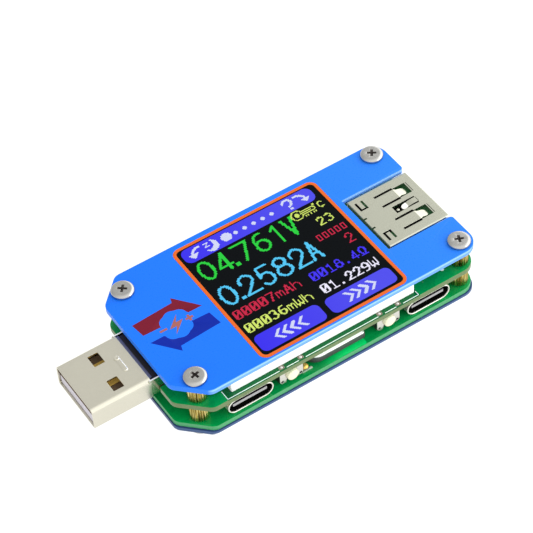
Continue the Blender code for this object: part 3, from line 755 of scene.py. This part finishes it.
def sign(name, xs, ys, brush=THIN_BRUSH):
    """The pixels of a sign that fills the X and Y ranges."""
    across, up = xs[1] - xs[0] - 2 * brush[0], ys[1] - ys[0] - 2 * brush[1]
    strokes = [
        [(xs[0] + brush[0] + x * across, ys[0] + brush[1] + y * up) for x, y in stroke]
        for stroke in GLYPHS[name]
    ]
    return brushed(strokes, brush)


def big_reading(signs, ys, point):
    """The pixels of big signs, each given with its X range, and of the decimal point between them."""
    lit = filled(rectangle(*point))
    for name, xs in signs:
        lit |= sign(name, xs, ys, BIG_BRUSH)
    return lit


def reading(names, start, ys):
    """The pixels of a row of small signs, eight pixels from one to the next."""
    lit = set()
    ys = [round(y / PITCH) * PITCH for y in ys]
    for index, name in enumerate(names):
        left = (round(start / PITCH) + index * 8) * PITCH
        if name == ".":
            lit |= filled(rectangle((left + 2 * PITCH, left + 4 * PITCH), (ys[0], ys[0] + 2 * PITCH)))
            continue
        name = {"0": "slashed", "1": "footed"}.get(name, name)
        lit |= sign(name, (left, left + 7 * PITCH), ys, THIN_BRUSH if name in "mWh" else SMALL_BRUSH)
    return lit


def small_frames():
    """The pixels of five empty square frames, three by six pixels each."""
    lit = set()
    for step in range(5):
        column = 68.5 + 6 * step
        square = rectangle((column * PITCH, (column + 3) * PITCH), (6.5 * PITCH, 12.5 * PITCH))
        lit |= brushed([square + square[:1]], FRAME_BRUSH)
    return lit


def thermometer():
    """The pixels of a thermometer that lies along X, with its scale marks."""
    (x, y), bulb, stem, stem_end = (14.2, 8.5), 1.08, 0.43, 17.4
    outline = arc(x, y, bulb, bulb, 25, 335, 20) + [(stem_end, y - stem)]
    outline += arc(stem_end, y, 0.35, stem, -90, 90, 6)
    lit = brushed([outline + outline[:1], [(14.9, y), (17.0, y)]], FINE_BRUSH)
    lit |= filled(turned_points((x, y), 0.46, 20))
    for step in range(5):
        lit |= filled(rectangle(about(15.5 + step * 0.52, 0.1), (7.45, 7.9)))
    return lit


def make_readouts():
    top = panel_top()

    def show(name, look, shown, lit):
        show_pixels(f"readout_{name}", lit, ink_look(look, shown), (top - PRINT, top + PRINT))

    signs = (("0", (-6.6, -3.75)), ("4", (-3.3, -0.35)), ("7", (0.5, 3.85)), ("6", (4.4, 7.2)),
             ("1", (8.2, 10.1)), ("V", (10.75, 13.1)))
    point = (about(0.0, 0.35), (4.75, 5.45))
    show("voltage", "green_ink", (0.018, 0.6, 0.045), big_reading(signs, (4.75, 9.3), point))

    signs = (("0", (-6.7, -3.75)), ("2", (-2.75, 0.4)), ("5", (0.75, 3.7)), ("8", (4.1, 7.2)),
             ("2", (7.45, 10.45)), ("A", (10.7, 12.95)))
    point = (about(-3.25, 0.35), (-2.1, -1.4))
    show("current", "cyan_ink", (0.08, 0.54, 0.87), big_reading(signs, (-2.05, 2.6), point))

    lit = reading("00007mAh", -6.9, (-5.4, -3.35)) | sign("2", (17.9, 19.35), (-2.1, 0.25))
    show("charge", "red_ink", (0.55, 0.014, 0.055), lit | small_frames())

    lit = reading("00036mWh", -6.9, (-8.85, -6.8)) | thermometer()
    lit |= sign("2", (16.1, 17.55), (4.15, 6.1)) | sign("3", (17.8, 19.25), (4.15, 6.1))
    lit |= sign("C", (18.45, 19.65), (7.7, 9.25), (0.12, 0.11))
    lit |= filled(rectangle(about(17.95, 0.2), (9.1, 9.5)))
    show("energy", "yellow_ink", (0.61, 0.75, 0.14), lit)

    lit = reading(["0", "0", "1", "8", ".", "4", "ohm"], 8.1, (-5.75, -3.7))
    show("resistance", "violet_ink", (0.05, 0.03, 0.87), lit)
    show("power", "white_ink", (0.82, 0.8, 0.95), reading("01.229W", 8.1, (-9.05, -7.0)))


def header_signs():
    """The pixels of the header bar's signs: arrow, moon, dots, question mark and second arrow."""
    lit = brushed([arc(-3.4, 11.45, 1.7, 1.1, 95, 195)], ICON_BRUSH)
    lit |= filled([(-6.1, 11.5), (-4.1, 11.5), (-5.1, 10.3)])
    lit |= filled(turned_points((-1.45, 11.45), 1.35, 28)) - filled(turned_points((-2.05, 11.85), 1.1, 28))
    lit |= brushed([[(-2.5, 12.5), (-1.7, 12.5), (-2.5, 11.6), (-1.7, 11.6)]], FINE_BRUSH)
    lit |= filled(turned_points((1.65, 11.6), 0.98, 28))
    for step in range(5):
        lit |= filled(turned_points(((17 + step * 9) * PITCH, 56 * PITCH), 0.42, 16))
    lit |= brushed([arc(14.3, 12.0, 0.85, 0.8, 170, -60) + [(14.45, 11.1)]], ICON_BRUSH)
    lit |= filled(rectangle(about(14.45, 0.3), about(10.45, 0.25)))
    lit |= brushed([arc(16.2, 11.25, 1.5, 1.3, 95, 0)], ICON_BRUSH)
    return lit | filled([(16.7, 11.4), (18.7, 11.4), (17.7, 10.3)])


def key_signs(centre, way):
    """The pixels of four chevrons on a soft key, pointing along way in X."""
    lit = set()
    for step in (-1.5, -0.5, 0.5, 1.5):
        tip, tail = centre + step * 1.5 + way * 0.55, centre + step * 1.5 - way * 0.45
        lit |= brushed([[(tail, -10.8), (tip, -11.8)], [(tip, -11.8), (tail, -12.8)]], KEY_BRUSH)
    return lit


def make_screen_bars():
    """The bar along the screen's top and the two soft keys at its foot, with plain signs on them."""
    top = panel_top()
    bars = [
        slab([rectangle(xs, ys, radius)], top - PRINT, top + PRINT / 2, 0.004)
        for xs, ys, radius in (
            ((-7.0, 19.5), (9.85, 13.3), 1.3),
            ((-7.15, 5.6), (-13.75, -9.8), 1.1),
            ((6.75, 19.85), (-13.75, -10.0), 1.1),
        )
    ]
    look = bar_look("bar_ink", (0.034, 0.02, 0.76), (0.068, 0.064, 0.74), (-9.0, 15.0))
    piece("screen_bars", joined(bars), look)
    lit = header_signs() | key_signs(-0.8, -1) | key_signs(13.3, 1)
    show_pixels("screen_signs", lit, ink_look("pale_ink", (0.62, 0.66, 0.88)), (top, top + 1.5 * PRINT))


# ---- boards

def make_boards(looks):
    mask = (0.0, 0.29, 0.065)
    upper_look = board_look("upper_laminate", mask, (0.165, 0.24, 0.1))
    upper = sheet("upper_board", 0.05, notched=True, slotted=True)
    piece("upper_board_laminate", upper, upper_look, ["upper_board"])
    lower_look = board_look("lower_laminate", mask, (0.085, 0.39, 0.16))
    piece("lower_board_laminate", sheet("lower_board", 0.05), lower_look, ["lower_board"])

    # A patch of the lower board that brightens along X towards the socket: painted light
    bright, tree, shader = new_look("painted_light_patch")
    green = mixed(tree, along_x(tree, (3.0, 8.0)), mask, (0.0, 0.68, 0.15))
    finish_look(tree, shader, green, 0.3, 0.0, 0.3, 0.05, wear=0.04, specular=0.2)
    top = cad_range("lower_board")[2][1]
    light_patch = slab([rectangle((2.6, 12.2), (-14.95, -9.0), 0.4)], top - PRINT, top + PRINT, 0.005)
    piece("lower_board_painted_light", light_patch, bright)

    # A darker strip along the upper board's -Y edge: painted shadow of the panel and display above it
    dark = plain_look("painted_shadow_mask", (0.0, 0.13, 0.03), 0.3, grain=0.3, relief=0.05, specular=0.2)
    top = cad_range("upper_board")[2][1]
    strip = slab([rectangle((-15.5, 23.1), (-15.15, -12.8), 0.2)], top - PRINT, top + PRINT / 2, 0.004)
    piece("upper_board_painted_shadow", strip, dark)
    make_silkscreen(top, looks)


def make_silkscreen(top, looks):
    """On the upper board: white legend lines along both long edges, and solder at the switch legs."""
    level = (top - PRINT, top + PRINT)
    line_y, half, ends = 14.86, 0.07, ((-15.4, -12.9), (22.92, -13.9))
    runs = ((-15.4, -5.3), (-3.9, -1.5), (-0.1, 14.6), (16.0, 18.3), (19.7, 22.92))
    marks = [block(xs, about(y, half), level) for y in (-line_y, line_y) for xs in runs]
    marks += [block(about(x, half), (-line_y, end), level) for x, end in ends]
    marks.append(prism(turned_points((29.5, -12.6), 0.35, 20), *level))
    # White legend lines; their glow is painted light
    white = plain_look("legend_white", (0.78, 0.95, 0.84), 0.5, glow=0.2)
    piece("upper_board_legend", joined(marks), white)

    joints, pads = [], []
    profile = [(0.26, top), (0.25, top + 0.05), (0.16, top + 0.14), (0.06, top + 0.18)]
    for number in range(1, 5):
        xs, ys, _ = cad_range(f"switch_cover_{number}")
        y = math.copysign(14.4, ys[0])
        for x in about(sum(xs) / 2, 1.9):
            pads.append(block(about(x, 0.5), about(y, 0.42), level, 0.2))
            joints.append(turned((x, y), profile, steps=20))
    piece("switch_joints", joined(joints), looks["solder"])
    dull = plain_look("dull_pad", (0.26, 0.23, 0.17), 0.5, 0.3, grain=0.1, relief=0.3)
    piece("switch_pads", joined(pads), dull)


# ---- screws and standoffs

def make_screw(node, centre, turn, looks):
    """A pan-head screw with a tapered cross recess; head up on top, head down below."""
    xs, _, (low, high) = cad_range(node)
    radius, head, side = (xs[1] - xs[0]) / 2, 0.75, 0.26
    up, crown, shank_end = (1, high, low) if node.startswith("top") else (-1, low, high)
    seat = crown - up * head
    profile = [(0.5, shank_end), (0.8, shank_end + up * 0.3), (0.8, seat)]
    profile += [(radius * 0.97, seat), (radius, seat + up * 0.06)]
    for degrees in range(0, 91, 10):
        angle = math.radians(degrees)
        rise = side + (head - side) * math.sin(angle)
        profile.append((radius * (0.7 + 0.3 * math.cos(angle)), seat + up * rise))
    profile.append((radius * 0.3, crown))

    cutters = []
    for angle in (turn, turn + 90):
        spin = Matrix.Rotation(math.radians(angle), 2)
        rings = []
        for half, slot, depth in ((0.42, 0.13, 0.55), (0.84, 0.24, 0.0), (0.88, 0.25, -0.1)):
            corners = [spin @ Vector(corner) for corner in rectangle((-half, half), (-slot, slot))]
            rings.append([(centre[0] + x, centre[1] + y, crown - up * depth) for x, y in corners])
        cutters.append(loft(rings))
    screw = softened(combined(turned(centre, profile, steps=64), cutters), 0.04, 2, 40)

    def in_recess(spot, normal):
        """1 on the walls and floor of the cross recess, which are painted in shade."""
        depth, above_seat = up * (crown - spot.z), up * (spot.z - seat)
        return (spot.xy - Vector(centre)).length < 1.15 and depth > 0.07 and above_seat > 0

    # The cross recess is painted in shade
    metal = (looks["screw"], looks["recess"])
    piece(f"fine_{node}", screw, metal, [node], choose=in_recess)


def make_screws(looks):
    turns = {1: 15, 2: 50, 3: 65, 4: 55}
    for number, centre in screw_centres().items():
        make_screw(f"top_screw_{number}", centre, turns[number], looks)
        make_screw(f"bottom_screw_{number}", centre, turns[number] + 25, looks)


def make_standoffs(looks):
    """Brass standoffs with a straight knurl between plain chamfered ends."""
    for number, centre in screw_centres().items():
        for level in ("lower", "upper"):
            node = f"{level}_standoff_{number}"
            xs, _, (low, high) = cad_range(node)
            if level == "lower":
                high = cad_range("upper_board")[2][0] - 0.05
            radius = (xs[1] - xs[0]) / 2
            profile = [(radius - 0.3, low), (radius - 0.08, low + 0.18), (radius, low + 0.3)]
            profile += [(radius, high - 0.3), (radius - 0.08, high - 0.18), (radius - 0.3, high)]
            mesh = turned(centre, profile, steps=132, ripple=0.24, teeth=22)
            piece(f"fine_{node}", mesh, looks["brass"], [node])


# ---- display module

def make_display(looks):
    xs, ys, (low, high) = cad_range("display_frame")
    glass_low = cad_range("display_glass")[2][0]
    rim = 0.6
    tray = soft_block(xs, ys, (low, high), 0.12, radius=0.25)
    pocket_xs, pocket_ys = (xs[0] + rim, xs[1] - rim), (ys[0] + rim, ys[1] - rim)
    pocket = block(pocket_xs, pocket_ys, (glass_low - 0.05, high + 1), 0.2)
    piece("display_tray", combined(tray, [pocket]), looks["white"], ["display_frame"])
    refined("display_glass", 0.08, looks["black_gloss"])
    refined("display_flex", 0.02, looks["flex"])


# ---- USB plug

def make_plug(looks):
    (tip, tail_end), (_, half_width), (bottom, top) = cad_range("plug_shell")
    rear = cad_range("top_panel")[0][0] - 0.96
    half = (half_width, (top - bottom) / 2)
    shell = sleeve("X", (0, (bottom + top) / 2), half, (0.4, 0.85), 0.3, tip, rear, 0.05)
    holes, tail_walls = [], []
    for side in (-1, 1):
        for zs in ((top - 0.7, top + 0.3), (bottom - 0.3, bottom + 0.6)):
            holes.append(block(about(tip + 6.1, 0.975), about(side * 3.1, 1.25), zs, 0.12))
        wall = rectangle((rear - 0.6, tail_end + 0.5), (bottom + 0.7, top - 0.15), 0.25)
        inner, outer = sorted((side * (half_width - 0.28), side * (half_width - 0.02)))
        tail_walls.append(prism(wall, inner, outer, "Y"))
    shell = softened(combined(shell, holes), 0.09, 2, 40)

    def tail_edge(spot, normal):
        """1 on the upper edges of the tail walls, which carry a painted highlight."""
        return spot.x > rear + 0.05 and normal.z > 0.6 and abs(spot.y) > half_width - 0.3

    metal = (looks["shell"], looks["glint"])
    sleeve_mesh = joined([shell, *tail_walls])
    piece("plug_sleeve", sleeve_mesh, metal, ["plug_shell"], choose=tail_edge)

    rings = []
    for height, inset in ((-0.05, 0.0), (0.03, 0.0), (0.1, 0.17)):
        outline = rectangle((-27.05 + inset, -26.15 - inset), (-1.9 + inset, 1.75 - inset), 0.44 - inset)
        rings.append([(x, y, top + height) for x, y in outline])
    profile = [(0.5, top), (0.48, top + 0.12), (0.36, top + 0.19), (0.15, top + 0.16)]
    boss = turned((-26.62, 1.3), profile, steps=24)
    # The ridge's slopes that face +X carry a painted highlight
    piece("plug_ridge", joined([loft(rings), boss]), metal, angle=20,
          choose=lambda spot, normal: normal.x > 0.1 and normal.z < 0.97)

    step = soft_block((rear - 0.1, rear + 0.42), about(0, half_width - 0.6), (top - 0.4, top - 0.05), 0.04)
    # Dark bluish metal: painted shade with a painted reflection of the blue panel
    flank = plain_look("shaded_plate", (0.2, 0.2, 0.28), 0.4, 1.0, grain=0.05)
    piece("plug_rear_step", step, flank)
    # The tongue is pale on its front and painted in shade on its other faces
    refined("plug_tongue", 0.12, (looks["pale"], looks["brown"]),
            lambda spot, normal: normal.x >= -0.5)
    refined("plug_base", 0.15, looks["black"])
    for number in range(1, 5):
        refined(f"plug_contact_{number}", 0.05, looks["gold"])


# ---- USB socket

def leaf_strip(outline, thickness, level, fall):
    """A strip of sheet whose top follows level minus fall(x)."""
    builder = bmesh.new()
    builder.from_mesh(prism(outline, -thickness, 0.0))
    for vertex in builder.verts:
        vertex.co.z += level - fall(vertex.co.x)
    return mesh_of(builder)


def make_socket(looks):
    (rear, mouth), (_, half_width), (bottom, top) = cad_range("socket_shell")
    wall = 0.3
    half = (half_width, (top - bottom) / 2)
    shell = sleeve("X", (0, (bottom + top) / 2), half, (0.5, 0.4), wall, mouth, rear)
    root, bend = rear + 4.3, rear + 8.1
    window_end = bend + 2.5
    dark_level = (top - 0.4, top - 0.1)
    cutters, leaves, darks = [], [], []

    def cut(xs, ys, dark=False):
        """A slot through the shell's top, with a dark strip of painted shade low in it where nothing shows
        behind it.
        """
        xs, ys = sorted(xs), sorted(ys)
        cutters.append(block(xs, ys, (top - 2 * wall, top + 0.3)))
        if dark:
            darks.append(block(xs, ys, dark_level))

    # Two spring fingers, and the slots of the lances beside the rear edge
    for side in (-1, 1):
        centre = side * 3.15
        cut((bend, window_end), about(centre, 1.28))
        cut((window_end + 0.22, window_end + 0.34), about(centre, 1.2), True)
        for edge in (-1, 1):
            cut((root, bend), about(centre + edge * 1.3, 0.23), True)
        finger = [(-0.1, -1.08, 0.0), (0.1, -1.08, 0.2), (0.45, -0.84, 0.2), (1.95, -0.8, 0.68)]
        finger += [(x, -y, radius) for x, y, radius in reversed(finger)]
        outline = filleted([(bend + x, centre + y, radius) for x, y, radius in finger], 4)
        leaves.append(leaf_strip(outline, wall * 0.9, top, lambda x: max(0.0, x - bend) * 0.5 / 1.9))
        free, fixed = centre, side * 5.25
        cut(about(rear + 0.9, 0.21), (free, fixed), True)
        cut(about(rear + 2.1, 0.22), (free, fixed))
        cut((rear + 0.75, rear + 2.28), (free, free + side * 0.36), True)
        cut((rear - 0.1, rear + 0.55), (side * 1.1, side * 1.45))

    # The latch near the mouth: a sloping strip in a window, with a knob beyond its tip
    latch_root, latch_tip, latch_half = mouth - 2.25, mouth - 5.3, 0.86
    cut((latch_tip - 1.6, latch_root), about(0, latch_half))
    floor_ys = about(0, latch_half + 0.1)
    # Painted shade below the latch
    darks.append(block((latch_tip - 1.7, latch_root), floor_ys, (top - 0.75, top - 0.65)))
    knob = [(0.3, top - 0.7), (0.28, top - 0.5), (0.15, top - 0.42)]
    leaves.append(turned((latch_tip - 0.75, 0.15), knob, steps=20))
    lowest, rounding, ring_count = 0.5, 0.4, 16
    flat, strip_half, strip_end = latch_root - 0.9, latch_half - 0.3, latch_root + 0.1
    rings = []
    for step in range(ring_count):
        x = latch_tip + (strip_end - latch_tip) * step / (ring_count - 1)
        across = strip_half - 0.3 * max(0.0, 1 - (x - latch_tip) / rounding) ** 2
        level = top - lowest * (max(0.0, flat - x) / (flat - latch_tip)) ** 1.5
        lower = [(x, -across, level - wall), (x, across, level - wall)]
        rings.append(lower + [(x, across, level), (x, -across, level)])
    leaves.append(loft(rings))
    # Painted shade in the slits beside the latch strip
    for side in (-1, 1):
        slit = sorted((side * strip_half, side * latch_half))
        darks.append(block((latch_tip + 0.9, latch_root), slit, dark_level))
    shell = softened(combined(shell, cutters), 0.025, 1, 45)

    def glinting(spot, normal):
        """1 on the slope of the latch near its tip, which carries a painted highlight."""
        return abs(spot.y) < strip_half and latch_tip < spot.x < latch_tip + 0.95 and normal.z > 0.5

    piece("socket_sleeve", joined([shell, *leaves]), (looks["socket"], looks["glint"]),
          ["socket_shell"], choose=glinting)
    piece("socket_shade", joined(darks), looks["shade"])
    refined("socket_insulator", 0.1, looks["green"])
    for number in range(1, 5):
        refined(f"socket_contact_{number}", 0.04, looks["gold"])


# ---- Type-C ports

def make_typec(name, looks):
    xs, (front, back), zs = cad_range(f"{name}_shell")
    x, z = sum(xs) / 2, sum(zs) / 2
    half = ((xs[1] - xs[0]) / 2, (zs[1] - zs[0]) / 2)
    wall = 0.26

    def inner_prism(inset, start, end):
        """A prism along Y on the shell's outline, moved inwards."""
        across, up = half[0] - inset, half[1] - inset
        return prism(rectangle(about(x, across), about(z, up), up - 0.01), start, end, "Y")

    shell = sleeve("Y", (x, z), half, (half[1] - 0.01,) * 2, wall, front, back)
    piece(f"{name}_sleeve", shell, looks["rim"], [f"{name}_shell"])
    well = inner_prism(wall + 0.045, front, back - 0.4)
    # A dark lining inside the shell: painted shade
    painted_shade_lining = combined(inner_prism(wall + 0.005, front + 0.22, back - 0.1), [well])
    piece(f"{name}_liner", painted_shade_lining, looks["shade"])
    # A grey band of painted highlight on the tongue's front; the rest is black
    refined(f"{name}_tongue", 0.08, (looks["tongue"], looks["black"]),
            lambda spot, normal: normal.y >= -0.9 or abs(spot.z - z) >= 0.1)
    pads = []
    for level in (z + 0.35, z - 0.35):
        for step in range(12):
            pad_xs = about(x + (step - 5.5) * 0.5, 0.14)
            pads.append(block(pad_xs, (front + 1.0, front + 4.5), about(level, 0.02)))
    piece(f"{name}_pads", joined(pads), looks["gold"])


# ---- side switches

def make_switch(number, looks):
    """A steel cover plate with two rivet holes, on the black body, and the button in its round hole."""
    xs, ys, (low, high) = cad_range(f"switch_cover_{number}")
    side = 1 if ys[0] > 0 else -1
    front = ys[1] if side > 0 else ys[0]
    x, z = sum(xs) / 2, (low + high) / 2
    left = xs[0]
    corners = [(left, high, 0.15), (left, low + 0.5, 0.2), (left + 0.35, low, 0.15)]
    corners += [(left + 1.15, low, 0.2), (left + 1.35, z - 0.75, 0.2)]
    corners += [(2 * x - corner_x, level, radius) for corner_x, level, radius in reversed(corners)]
    plate = prism(filleted(corners, 5), front - side * 0.2, front, "Y")
    rounds = [((x, z), 1.17, 40)] + [((x + way * 1.85, low + 0.5), 0.27, 16) for way in (-1, 1)]
    holes = [prism(turned_points(*hole), front - 1.0, front + 1.0, "Y") for hole in rounds]
    plate = softened(combined(plate, holes), 0.03, 1, 40)
    leg_ys = sorted((front - side * 0.02, front - side * 0.9))
    legs = [
        soft_block(about(leg_x, 0.25), leg_ys, (high - 0.15, high), 0.05, 1)
        for leg_x in about(x, 2.05)
    ]
    piece(f"switch_plate_{number}", joined([plate, *legs]), looks["plate"],
          [f"switch_cover_{number}"])
    refined(f"switch_body_{number}", 0.1, looks["black"])

    button = f"button_{number}"
    inner, face = cad_range(button)[1][::side]
    crown, radius = 0.35, 1.1
    profile = [(radius, inner), (radius, face - side * crown)]
    for angle in (0.3, 0.6, 0.9, 1.2, 1.4):
        profile.append((radius * math.cos(angle), face - side * crown * (1 - math.sin(angle))))
    cap = turned((x, z), profile, "Y", 48)
    flange_ys = sorted((front - side * 0.3, front - side * 0.7))
    flange = soft_block(about(x, 1.5), flange_ys, about(z, 0.9), 0.08)
    piece(f"button_cap_{number}", joined([cap, flange]), looks["cream"], [button], button)


# ---- parts between the boards

def crystal_block(xs, ys, zs, *edges):
    """A softened block whose left end is half round and whose right end is nearly square."""
    (left, right), round_end = xs, (ys[1] - ys[0]) / 2 - 0.02
    ends = [(left, ys[0], round_end), (right, ys[0], 0.4), (right, ys[1], 0.4), (left, ys[1], round_end)]
    return softened(prism(filleted(ends, 12), *zs), *edges)


def make_crystal(looks):
    xs, ys, (low, high) = cad_range("crystal_base")
    base = crystal_block(xs, ys, (low, high), 0.25, 3)
    piece("crystal_foot", base, looks["grey"], ["crystal_base"])
    can_xs, can_ys, (can_low, can_high) = cad_range("crystal_can")
    can = crystal_block(can_xs, can_ys, (can_low, can_high), 0.4, 4)
    flange_xs, flange_ys = (can_xs[0] - 0.25, can_xs[1] + 0.25), (can_ys[0] - 0.12, can_ys[1] + 0.12)
    flange = crystal_block(flange_xs, flange_ys, (can_low - 0.03, can_low + 0.2), 0.06, 1)
    piece("crystal_cover", joined([can, flange]), looks["bright"], ["crystal_can"])

    y = sum(ys) / 2
    tabs, fillets = [], []
    profile = [(0.75, low), (0.7, low + 0.1), (0.4, low + 0.32), (0.15, low + 0.4)]
    for way, end in ((-1, xs[0]), (1, xs[1])):
        tab_xs = sorted((end - way * 0.3, end + way * 1.0))
        tabs.append(soft_block(tab_xs, about(y, 0.45), (low, low + 0.3), 0.1))
        fillets.append(turned((end + way * 1.0, y), profile, steps=24))
    blob = [(0.72, low), (0.7, low + 0.15), (0.5, low + 0.5), (0.2, low + 0.65)]
    tabs.append(turned((0.6, -13.1), blob, steps=24))
    fillets.append(soft_block((-0.5, 1.6), (-14.15, -13.7), (low, low + 0.3), 0.08))
    piece("crystal_tabs", joined(tabs), looks["gold"])
    piece("crystal_solder", joined(fillets), looks["rim"])


def lead_row(xs, edge, low, count, way):
    """A row along X of bent leads that leave a chip's side at Y edge, pointing along way in Y."""
    bends = [(0, 0.6), (0.35, 0.6), (0.5, 0.12), (0.95, 0.12)]
    bends += [(0.95, 0), (0.38, 0), (0.25, 0.48), (0, 0.48)]
    outline = [(edge + way * out, low + height) for out, height in bends]
    leads = []
    for step in range(count):
        x = xs[0] + (step + 0.5) * (xs[1] - xs[0]) / count
        leads.append(prism(outline, x - 0.12, x + 0.12, "X"))
    return leads


def make_chips(looks):
    for node, count in (("controller_chip", 12), ("regulator_chip", 4)):
        refined(node, 0.12, looks["black"])
        xs, ys, (low, _) = cad_range(node)
        leads = lead_row(xs, ys[1], low, count, 1) + lead_row(xs, ys[0], low, count, -1)
        piece(f"{node}_leads", joined(leads), looks["solder"])
    for node, look, slot in (("shunt_resistor", "ceramic", "resistor_ceramic"),
                             ("input_capacitor", "resin", "capacitor_resin")):
        refined(node, 0.08, looks[look])
        xs, (near, far), (low, high) = cad_range(node)
        ys, zs = (near - 0.04, far + 0.04), (low, high + 0.04)
        caps = [soft_block(about(x, 0.35), ys, zs, 0.06, 1) for x in xs]
        piece(f"{node}_ends", joined(caps), looks["solder"])
    refined("board_header", 0.08, looks["black"])


# ---- shared looks

def shared_looks():
    drawn = {"stretch": (0.06, 1, 1)}
    sheet_metal = {"grain": 0.04, "relief": 0.06, "wear": 0.05, **drawn}
    return {
        "screw": plain_look("screw_steel", (0.49, 0.485, 0.46), 0.22, 1.0, grain=0.05, relief=0.12),
        # Painted shade in the screws' cross recesses
        "recess": plain_look("recess_painted_shade", (0.07, 0.06, 0.055), 0.5, 0.6, grain=0.05),
        "brass": knurled_look("turned_brass", (0.88, 0.72, 0.27), (0.22, 0.17, 0.03)),
        "shell": plain_look("plated_sheet", (0.71, 0.685, 0.57), 0.2, 1.0, **sheet_metal),
        "rim": plain_look("port_sheet", (0.96, 0.94, 0.86), 0.3, 0.8, 0.05, 0.1),
        # Crystal can metal; its glow is painted light
        "bright": plain_look("drawn_can", (0.93, 0.96, 0.93), 0.25, 0.35, 0.06, 0.1, 0.15, **drawn),
        "solder": plain_look("solder", (0.72, 0.7, 0.66), 0.35, 0.9, grain=0.2, relief=0.4),
        # Gold's own colour, with a glow of painted light
        "gold": plain_look("gold", (0.9, 0.6, 0.14), 0.3, 0.6, grain=0.06, glow=0.12),
        "black": plain_look("black_moulding", (0.018, 0.016, 0.02), 0.42, relief=0.3),
        "black_gloss": plain_look("black_glass", (0.004, 0.004, 0.006), 0.1, relief=0.02),
        "grey": plain_look("grey_moulding", (0.06, 0.065, 0.065), 0.42, relief=0.3),
        # Painted highlight on the Type-C tongues' fronts
        "tongue": plain_look("tongue_painted_highlight", (0.38, 0.37, 0.38), 0.45, relief=0.2),
        # Painted shade on the plug tongue inside its shell
        "brown": plain_look("tongue_painted_shade", (0.2, 0.135, 0.085), 0.5, relief=0.2),
        "shade": plain_look("deep_shade", (0.003, 0.003, 0.003), 0.9, specular=0.02),
        # Painted highlight, glowing
        "glint": plain_look("painted_glint", (0.95, 0.94, 0.88), 0.3, 0.2, glow=0.2),
        "plate": plain_look("switch_steel", (0.74, 0.72, 0.66), 0.3, 1.0, grain=0.06, relief=0.2),
        "socket": plain_look("socket_sheet", (0.59, 0.6, 0.49), 0.22, 1.0, **sheet_metal),
        "pale": plain_look("pale_moulding", (0.6, 0.57, 0.62), 0.5, relief=0.2),
        # White moulding; its glow is painted light
        "white": plain_look("white_moulding", (0.9, 0.92, 0.9), 0.45, glow=0.15, wear=0.02),
        "cream": plain_look("cream_moulding", (0.86, 0.82, 0.6), 0.45, relief=0.1, wear=0.05),
        "green": plain_look("green_moulding", (0.015, 0.11, 0.03), 0.45, relief=0.2),
        "flex": plain_look("flex_film", (0.5, 0.22, 0.03), 0.3, grain=0.1),
        "ceramic": plain_look("resistor_ceramic", (0.03, 0.03, 0.03), 0.5),
        "resin": plain_look("capacitor_resin", (0.75, 0.5, 0.1), 0.45),
    }


# ---- camera, floor and light

# The camera at the photo's viewing angle: angles in degrees, distances and lens in millimetres.
# It aims at that X and Y on the top panel.
CAMERA_AZIMUTH = -30.04
CAMERA_ELEVATION = 47.97
CAMERA_ROLL = -4.6
CAMERA_DISTANCE = 349.6
CAMERA_AIM = (3.47, 1.85)
CAMERA_LENS = 140.1


def make_camera():
    data = bpy.data.cameras.new("camera")
    data.sensor_width = 36.0
    data.lens = CAMERA_LENS
    data.clip_start = 0.01
    data.clip_end = 20.0
    camera = scene_object("camera", data)
    azimuth, elevation = math.radians(CAMERA_AZIMUTH), math.radians(CAMERA_ELEVATION)
    plan = math.cos(elevation)
    back = Vector((math.sin(azimuth) * plan, -math.cos(azimuth) * plan, math.sin(elevation)))
    camera.location = (Vector((*CAMERA_AIM, panel_top())) + back * CAMERA_DISTANCE) * MM
    level = (-back).to_track_quat("-Z", "Y").to_matrix()
    roll = Matrix.Rotation(math.radians(CAMERA_ROLL), 3, "Z")
    camera.rotation_euler = (level @ roll).to_euler()
    bpy.context.scene.camera = camera


def make_area(name, place, size, power):
    """A round light that faces the origin."""
    data = bpy.data.lights.new(name, "AREA")
    data.shape = "DISK"
    data.size = size
    data.energy = power
    light = scene_object(name, data)
    light.location = place
    light.rotation_euler = Vector(place).to_track_quat("Z", "Y").to_euler()


def make_studio():
    """A pale floor, a white room that is a little darker on the far side, and one soft key light."""
    floor_mesh = block((-3000, 3000), (-3000, 3000), (-5, 0))
    floor_mesh.transform(Matrix.Diagonal((MM, MM, MM, 1)))
    white = plain_look("floor_white", (0.14, 0.14, 0.14), 0.9, grain=40, relief=0, specular=0.0, wear=0.01)
    glow = white.node_tree.nodes["Principled BSDF"].inputs
    glow["Emission Color"].default_value = (1.0, 1.0, 1.0, 1.0)
    glow["Emission Strength"].default_value = 1.0
    floor_mesh.materials.append(white)
    scene_object("floor", floor_mesh)

    world = bpy.data.worlds.new("studio")
    world.use_nodes = True
    tree = world.node_tree
    way = add(tree, "TexCoord").outputs["Generated"]
    near = spread(tree, part_of(tree, way, "Y"), 0.58, -0.4, 0.8, 1.5)
    right = spread(tree, part_of(tree, way, "X"), -0.7, 0.3, 0.85, 1.0)
    window = spread(tree, part_of(tree, way, "X"), 0.42, 0.64, 0.0, 1.2)
    strength = maths(tree, "ADD", maths(tree, "MULTIPLY", near, right), window)
    background = tree.nodes["Background"].inputs
    background["Color"].default_value = (1.0, 1.0, 1.0, 1.0)
    link(tree, strength, background["Strength"])
    scene = bpy.context.scene
    scene.world = world
    make_area("key", (0.16, -0.25, 0.12), 0.1, 0.12)
    scene.view_settings.view_transform = "Standard"
    scene.view_settings.look = "None"


# ---- the whole scene

make_camera()
looks = shared_looks()
make_panels()
make_direction_print()
make_readouts()
make_screen_bars()
for make_parts in (make_boards, make_screws, make_standoffs, make_display, make_plug, make_socket):
    make_parts(looks)
make_typec("typec_input", looks)
make_typec("typec_output", looks)
for switch_number in range(1, 5):
    make_switch(switch_number, looks)
make_crystal(looks)
make_chips(looks)
make_studio()
